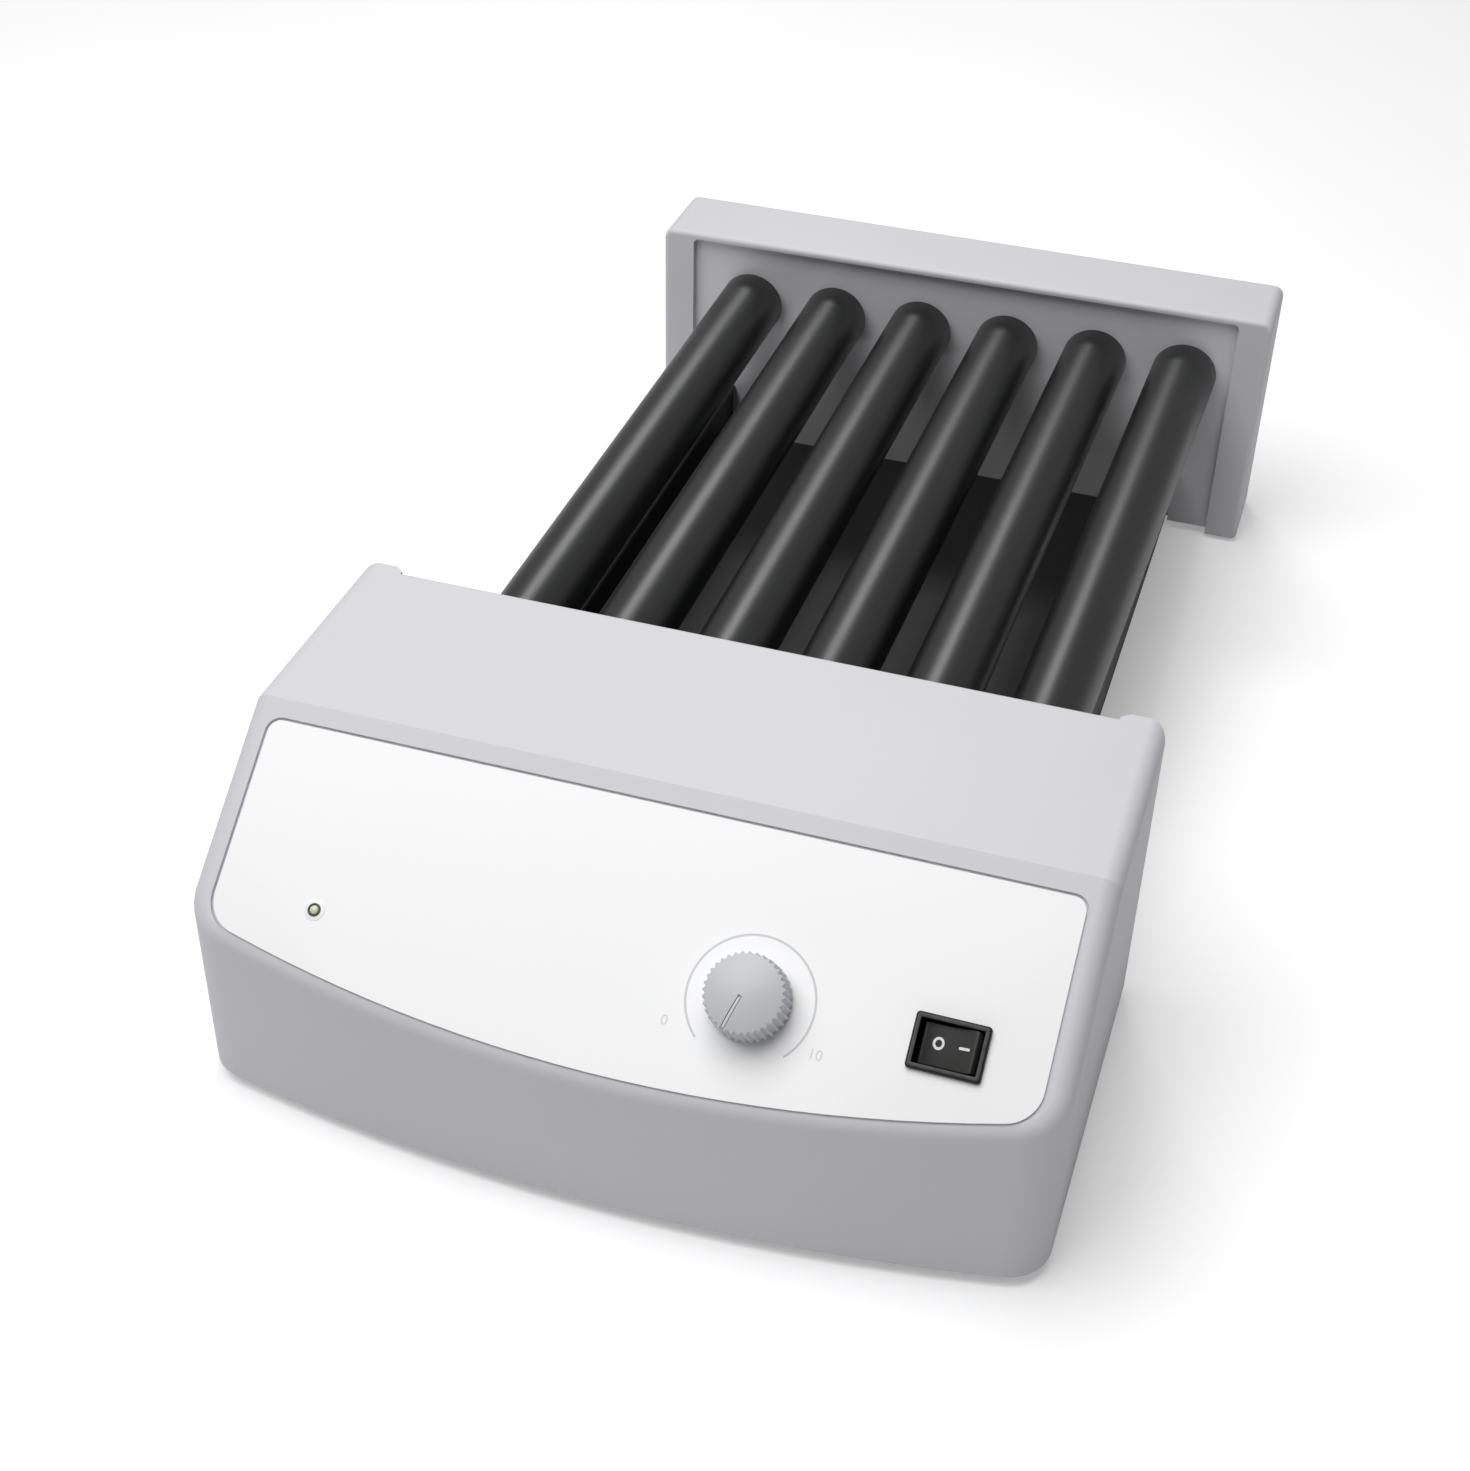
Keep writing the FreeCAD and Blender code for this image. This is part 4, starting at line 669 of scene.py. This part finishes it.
def collar_profile():
    """Closed outline: barrel in the face's hole, flange, round dark lip, and bore."""
    barrel = [(COLLAR_BORE, -LAMP_DEPTH), (COLLAR_BARREL, -LAMP_DEPTH),
              (COLLAR_BARREL, FLANGE_UNDERSIDE), (COLLAR_FLANGE, FLANGE_UNDERSIDE)]
    centre = (COLLAR_FLANGE - FLANGE_ROUND, FLANGE_TOP - FLANGE_ROUND)
    flange = rounded(centre, FLANGE_ROUND, 0, 90)
    lip = np.array([(2.1, 0.19), (2.0, 0.22), (1.97, 0.32), (1.88, 0.42), (1.72, 0.46),
                    (1.55, 0.42), (1.44, 0.3), (1.4, 0.1)]) * MM
    return barrel + flange + lip.tolist() + [(COLLAR_BORE, -1.0 * MM), barrel[0]]


def lens_profile():
    """Outline from pole to pole: shank behind the face, and a quarter ellipse for the lens."""
    shank = LENS_RADIUS - 0.11 * MM
    neck = -0.9 * MM
    angle = np.radians(np.linspace(0, 90, 12))
    radius = LENS_RADIUS * np.cos(angle)
    radius[-1] = 0.0
    dome = zip(radius, 0.1 * MM + LENS_CROWN * np.sin(angle))
    return [(0.0, -LAMP_DEPTH), (shank, -LAMP_DEPTH), (shank, neck), (LENS_RADIUS, neck), *dome]


lamp_place = on_slope(*LAMP_SPOT, OVERLAY_RISE)
collar = skin("lamp_collar", moved(turned(collar_profile()), lamp_place), "lamp_holder", "root",
              50.0, "lamp_collar")
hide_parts("lamp_holder")
lens_dome = skin("lamp_dome", moved(turned(lens_profile()), lamp_place), "lamp", "root", 50.0)
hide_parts("power_lamp")


def rocker_face(x):
    """Height of the rocker's hollow face over its pivot: low + hollow * (x / half length) ** 2."""
    return ROCKER_FACE_LOW + ROCKER_HOLLOW * (x / ROCKER_FACE_HALF) ** 2


def rocker_profile():
    """Closed outline in X and Z: hollow face, shoulders, ends round the pivot, flat foot."""
    face = np.linspace(-ROCKER_FACE_HALF, ROCKER_FACE_HALF, 29)
    shoulder = [(7.6 * MM, 1.02 * MM), (7.9 * MM, 0.6 * MM), (8.15 * MM, -0.4 * MM)]
    top_angle = math.degrees(-0.15)
    foot_angle = -math.degrees(math.asin(ROCKER_FOOT_HALF / ROCKER_RADIUS))
    end = rounded((0.0, 0.0), ROCKER_RADIUS, top_angle, foot_angle, 7)
    right = shoulder + end
    return np.array(list(zip(face, rocker_face(face))) + right + [(-x, z) for x, z in right[::-1]])


def rocker_grid():
    """The rocker's outline carried along Y, drawn in towards a middle near its two sides.

    In a rounded side, at an angle a from 90 degrees down to 0, a ring lies at half width -
    round * (1 - sin a), and a point of it that is 4.5 mm from the middle is drawn in by round
    * (1 - cos a), others in proportion. The end rows are poles.
    """
    middle = np.array([0.0, -1.2 * MM])
    reach = 4.5 * MM
    angle = np.radians([90, 70, 45, 20, 0])
    side = ROCKER_HALF_WIDTH - ROCKER_ROUND * (1 - np.sin(angle))
    share = 1 - ROCKER_ROUND * (1 - np.cos(angle)) / reach
    y = np.concatenate([[ROCKER_HALF_WIDTH], side, -side[::-1], [-ROCKER_HALF_WIDTH]])[:, None]
    share = np.concatenate([[0.0], share, share[::-1], [0.0]])[:, None, None]
    rings = middle + share * (rocker_profile()[::-1] - middle)
    return np.stack([rings[..., 0], y + 0 * rings[..., 0], rings[..., 1]], axis=-1)


rocker_place = (on_slope(*SWITCH_SPOT, OVERLAY_RISE + ROCKER_PIVOT)
                @ Matrix.Rotation(-ROCKER_TILT, 4, "Y"))
rocker = skin("hollow_faced_rocker", moved(rocker_grid(), rocker_place), "switch", "rocker",
              35.0, "switch_rocker")
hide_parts("switch_rocker")


def bezel_grid():
    """Switch housing in rounded rectangles: from the body's foot over the bezel into its well.

    Each rectangle has a half width, a corner radius and a height, in millimetres. A point of
    a corner is (half width - radius + radius * cos a, half depth - radius + radius * sin a).
    """
    body = [(0.0, 0.0, -15.0), (9.3, 0.4, -15.0), (9.7, 0.6, -14.6), (9.7, 0.6, 0.0)]
    bezel = [(10.4, 1.0, 0.0), (10.5, 1.1, 0.1), (10.5, 1.1, 1.0), (10.36, 0.96, 1.55),
             (10.07, 0.8, 1.9), (9.85, 0.65, 2.0), (9.05, 0.4, 2.0), (8.92, 0.32, 1.92)]
    well = [(8.9, 0.3, 1.7), (8.9, 0.3, -8.0), (0.0, 0.0, -8.0)]
    half_x, corner, height = np.array(body + bezel + well).T[..., None]
    half_y = np.maximum(half_x - BEZEL_NARROWER, 0)
    quarter = np.repeat(np.arange(4), 9)
    angle = np.radians(np.tile(np.linspace(0, 90, 9), 4) + 90 * quarter)
    right = np.array([1, -1, -1, 1])[quarter]
    up = np.array([1, 1, -1, -1])[quarter]
    return np.stack([right * (half_x - corner) + corner * np.cos(angle),
                     up * (half_y - corner) + corner * np.sin(angle),
                     height + 0 * angle], axis=-1) * MM


bezel = skin("rounded_switch_bezel", moved(bezel_grid(), on_slope(*SWITCH_SPOT, OVERLAY_RISE)),
             "switch", "root", 35.0, "switch_housing")
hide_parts("switch_housing")


def rocker_mark(name, centre, half, hole=0.0, power=2.0):
    """Filled mark on the rocker's face: |x / a| ** power + |y / b| ** power = 1, with a hole.

    Its rows run from the hole, or from a pole in the middle, over the top to the outer edge
    and back underneath. The centre and the half sizes a and b are in millimetres, and the
    hole is a share of them.
    """
    angle = np.linspace(0, 2 * math.pi, 64, endpoint=False)
    c, s = np.cos(angle), np.sin(angle)
    unit = (abs(c) ** power + abs(s) ** power) ** (-1 / power)
    top = [(hole, MARK_TOP), (0.5 + hole / 2, MARK_TOP), (1.0, MARK_TOP)]
    under = [(1.0, MARK_ROOT), (hole, MARK_ROOT)]
    rows = [(hole, MARK_ROOT), *top, *under] if hole else top + under
    share, lift = np.array(rows).T[..., None]
    x = (centre[0] + share * half[0] * unit * c) * MM
    y = (centre[1] + share * half[1] * unit * s) * MM
    grid = np.stack([x, y, rocker_face(x) + lift], axis=-1)[::-1]
    return skin(name, moved(grid, rocker_place), "overlay", "rocker", 30.0, "rocker_mark")


rocker_mark("off_ring", (-3.0, 0.55), (1.6, 1.8), 0.58)
rocker_mark("on_bar", (4.4, 0.45), (1.6, 0.4), 0.0, 6.0)


def scale_number(word, spot):
    """A number printed beside the knob's ring, as a thin layer of ink on the control face."""
    curve = bpy.data.curves.new("scale_" + word, "FONT")
    curve.body = word
    curve.size = NUMBER_SIZE
    curve.align_x = "CENTER"
    curve.align_y = "CENTER"
    curve.extrude = NUMBER_INK
    holder = bpy.data.objects.new("scale_" + word, curve)
    bpy.context.scene.collection.objects.link(holder)
    mesh = bpy.data.meshes.new_from_object(holder)
    bpy.data.objects.remove(holder)
    mesh.transform(on_slope(*spot, OVERLAY_RISE + NUMBER_LIFT))
    return finish_piece("scale_number_" + word, mesh, "overlay", "root", 30.0, "scale_mark")


scale_number("0", NUMBER_0_SPOT)
scale_number("10", NUMBER_10_SPOT)


def place_camera():
    """Camera turned round the object from its front, raised above it and rolled about its view."""
    level = math.cos(CAMERA_RISE)
    back = Vector((math.sin(CAMERA_TURN) * level, -math.cos(CAMERA_TURN) * level,
                   math.sin(CAMERA_RISE)))
    flat = (-back).cross(Vector((0, 0, 1))).normalized()
    upright = flat.cross(-back)
    side = math.cos(CAMERA_ROLL) * flat + math.sin(CAMERA_ROLL) * upright
    above = math.cos(CAMERA_ROLL) * upright - math.sin(CAMERA_ROLL) * flat
    lens = bpy.data.cameras.new("photo_view")
    lens.sensor_width = SENSOR_WIDTH
    lens.lens = FOCAL_LENGTH
    lens.clip_start = 0.01
    camera = bpy.data.objects.new("photo_view", lens)
    bpy.context.scene.collection.objects.link(camera)
    view = Matrix((side, above, back)).transposed().to_4x4()
    camera.matrix_world = Matrix.Translation(CAMERA_PLACE) @ view
    bpy.context.scene.camera = camera


def lay_floor():
    """Pale floor that keeps the shadow and glows a little to the camera, so it looks white."""
    mesh = bpy.data.meshes.new("floor")
    corners = [(-FLOOR_REACH, -FLOOR_REACH, 0), (FLOOR_REACH, -FLOOR_REACH, 0),
               (FLOOR_REACH, FLOOR_REACH, 0), (-FLOOR_REACH, FLOOR_REACH, 0)]
    mesh.from_pydata(corners, [], [(0, 1, 2, 3)])
    floor = bpy.data.objects.new("floor", mesh)
    bpy.context.scene.collection.objects.link(floor)
    ground, start, place = new_material("floor_white")
    shown = start.node("LightPath").other("Is Camera Ray")
    cloud = start.noise(place, 3.0).step(0.3, 0.7)
    shade(ground, start, Base_Color=cloud.mix(linear(238, 238, 239), linear(241, 241, 242)),
          Roughness=0.9, Specular_IOR_Level=0.1,
          Emission_Color=shown.mix((0.0, 0.0, 0.0, 1.0), (1.0, 1.0, 1.0, 1.0)),
          Emission_Strength=FLOOR_GLOW)
    mesh.materials.append(ground)


def light_world():
    """Even world: white to the camera and through glass, dimmer in gloss, faint as a light."""
    world = bpy.data.worlds.new("studio")
    bpy.context.scene.world = world
    world.use_nodes = True
    world.node_tree.nodes.clear()
    sky = Value(world.node_tree)
    ray = sky.node("LightPath")
    straight = ray.other("Is Camera Ray") + ray.other("Is Transmission Ray")
    shown = sky.math("MINIMUM", straight + ray.other("Is Glossy Ray") * GLOSS_SHARE, 1.0)
    background = sky.node("Background", Color=(1.0, 1.0, 1.0, 1.0),
                          Strength=WORLD_LIGHT + (1 - WORLD_LIGHT) * shown)
    sky.node("OutputWorld", Surface=background)


def soft_lamp(name, place, aim, size, power):
    """Area lamp of two sides in metres and a power in watts, turned to its aim."""
    lamp = bpy.data.lights.new(name, "AREA")
    lamp.shape = "RECTANGLE"
    lamp.size, lamp.size_y = size
    lamp.energy = power
    item = bpy.data.objects.new(name, lamp)
    bpy.context.scene.collection.objects.link(item)
    item.location = place
    item.rotation_euler = (Vector(aim) - Vector(place)).to_track_quat("-Z", "Y").to_euler()


place_camera()
lay_floor()
light_world()
# The overhead lamp lights the whole, and the band behind puts the satin streak on the sleeves
soft_lamp("overhead", (-0.3, -0.34, 1.5), (0, -0.05, 0.05), (1.2, 1.5), 21.5)
soft_lamp("back_band", (-0.36, 1.15, 1.2), (0, -0.02, 0.06), (0.5, 0.25), 4.8)

bpy.context.scene.view_settings.view_transform = "Standard"
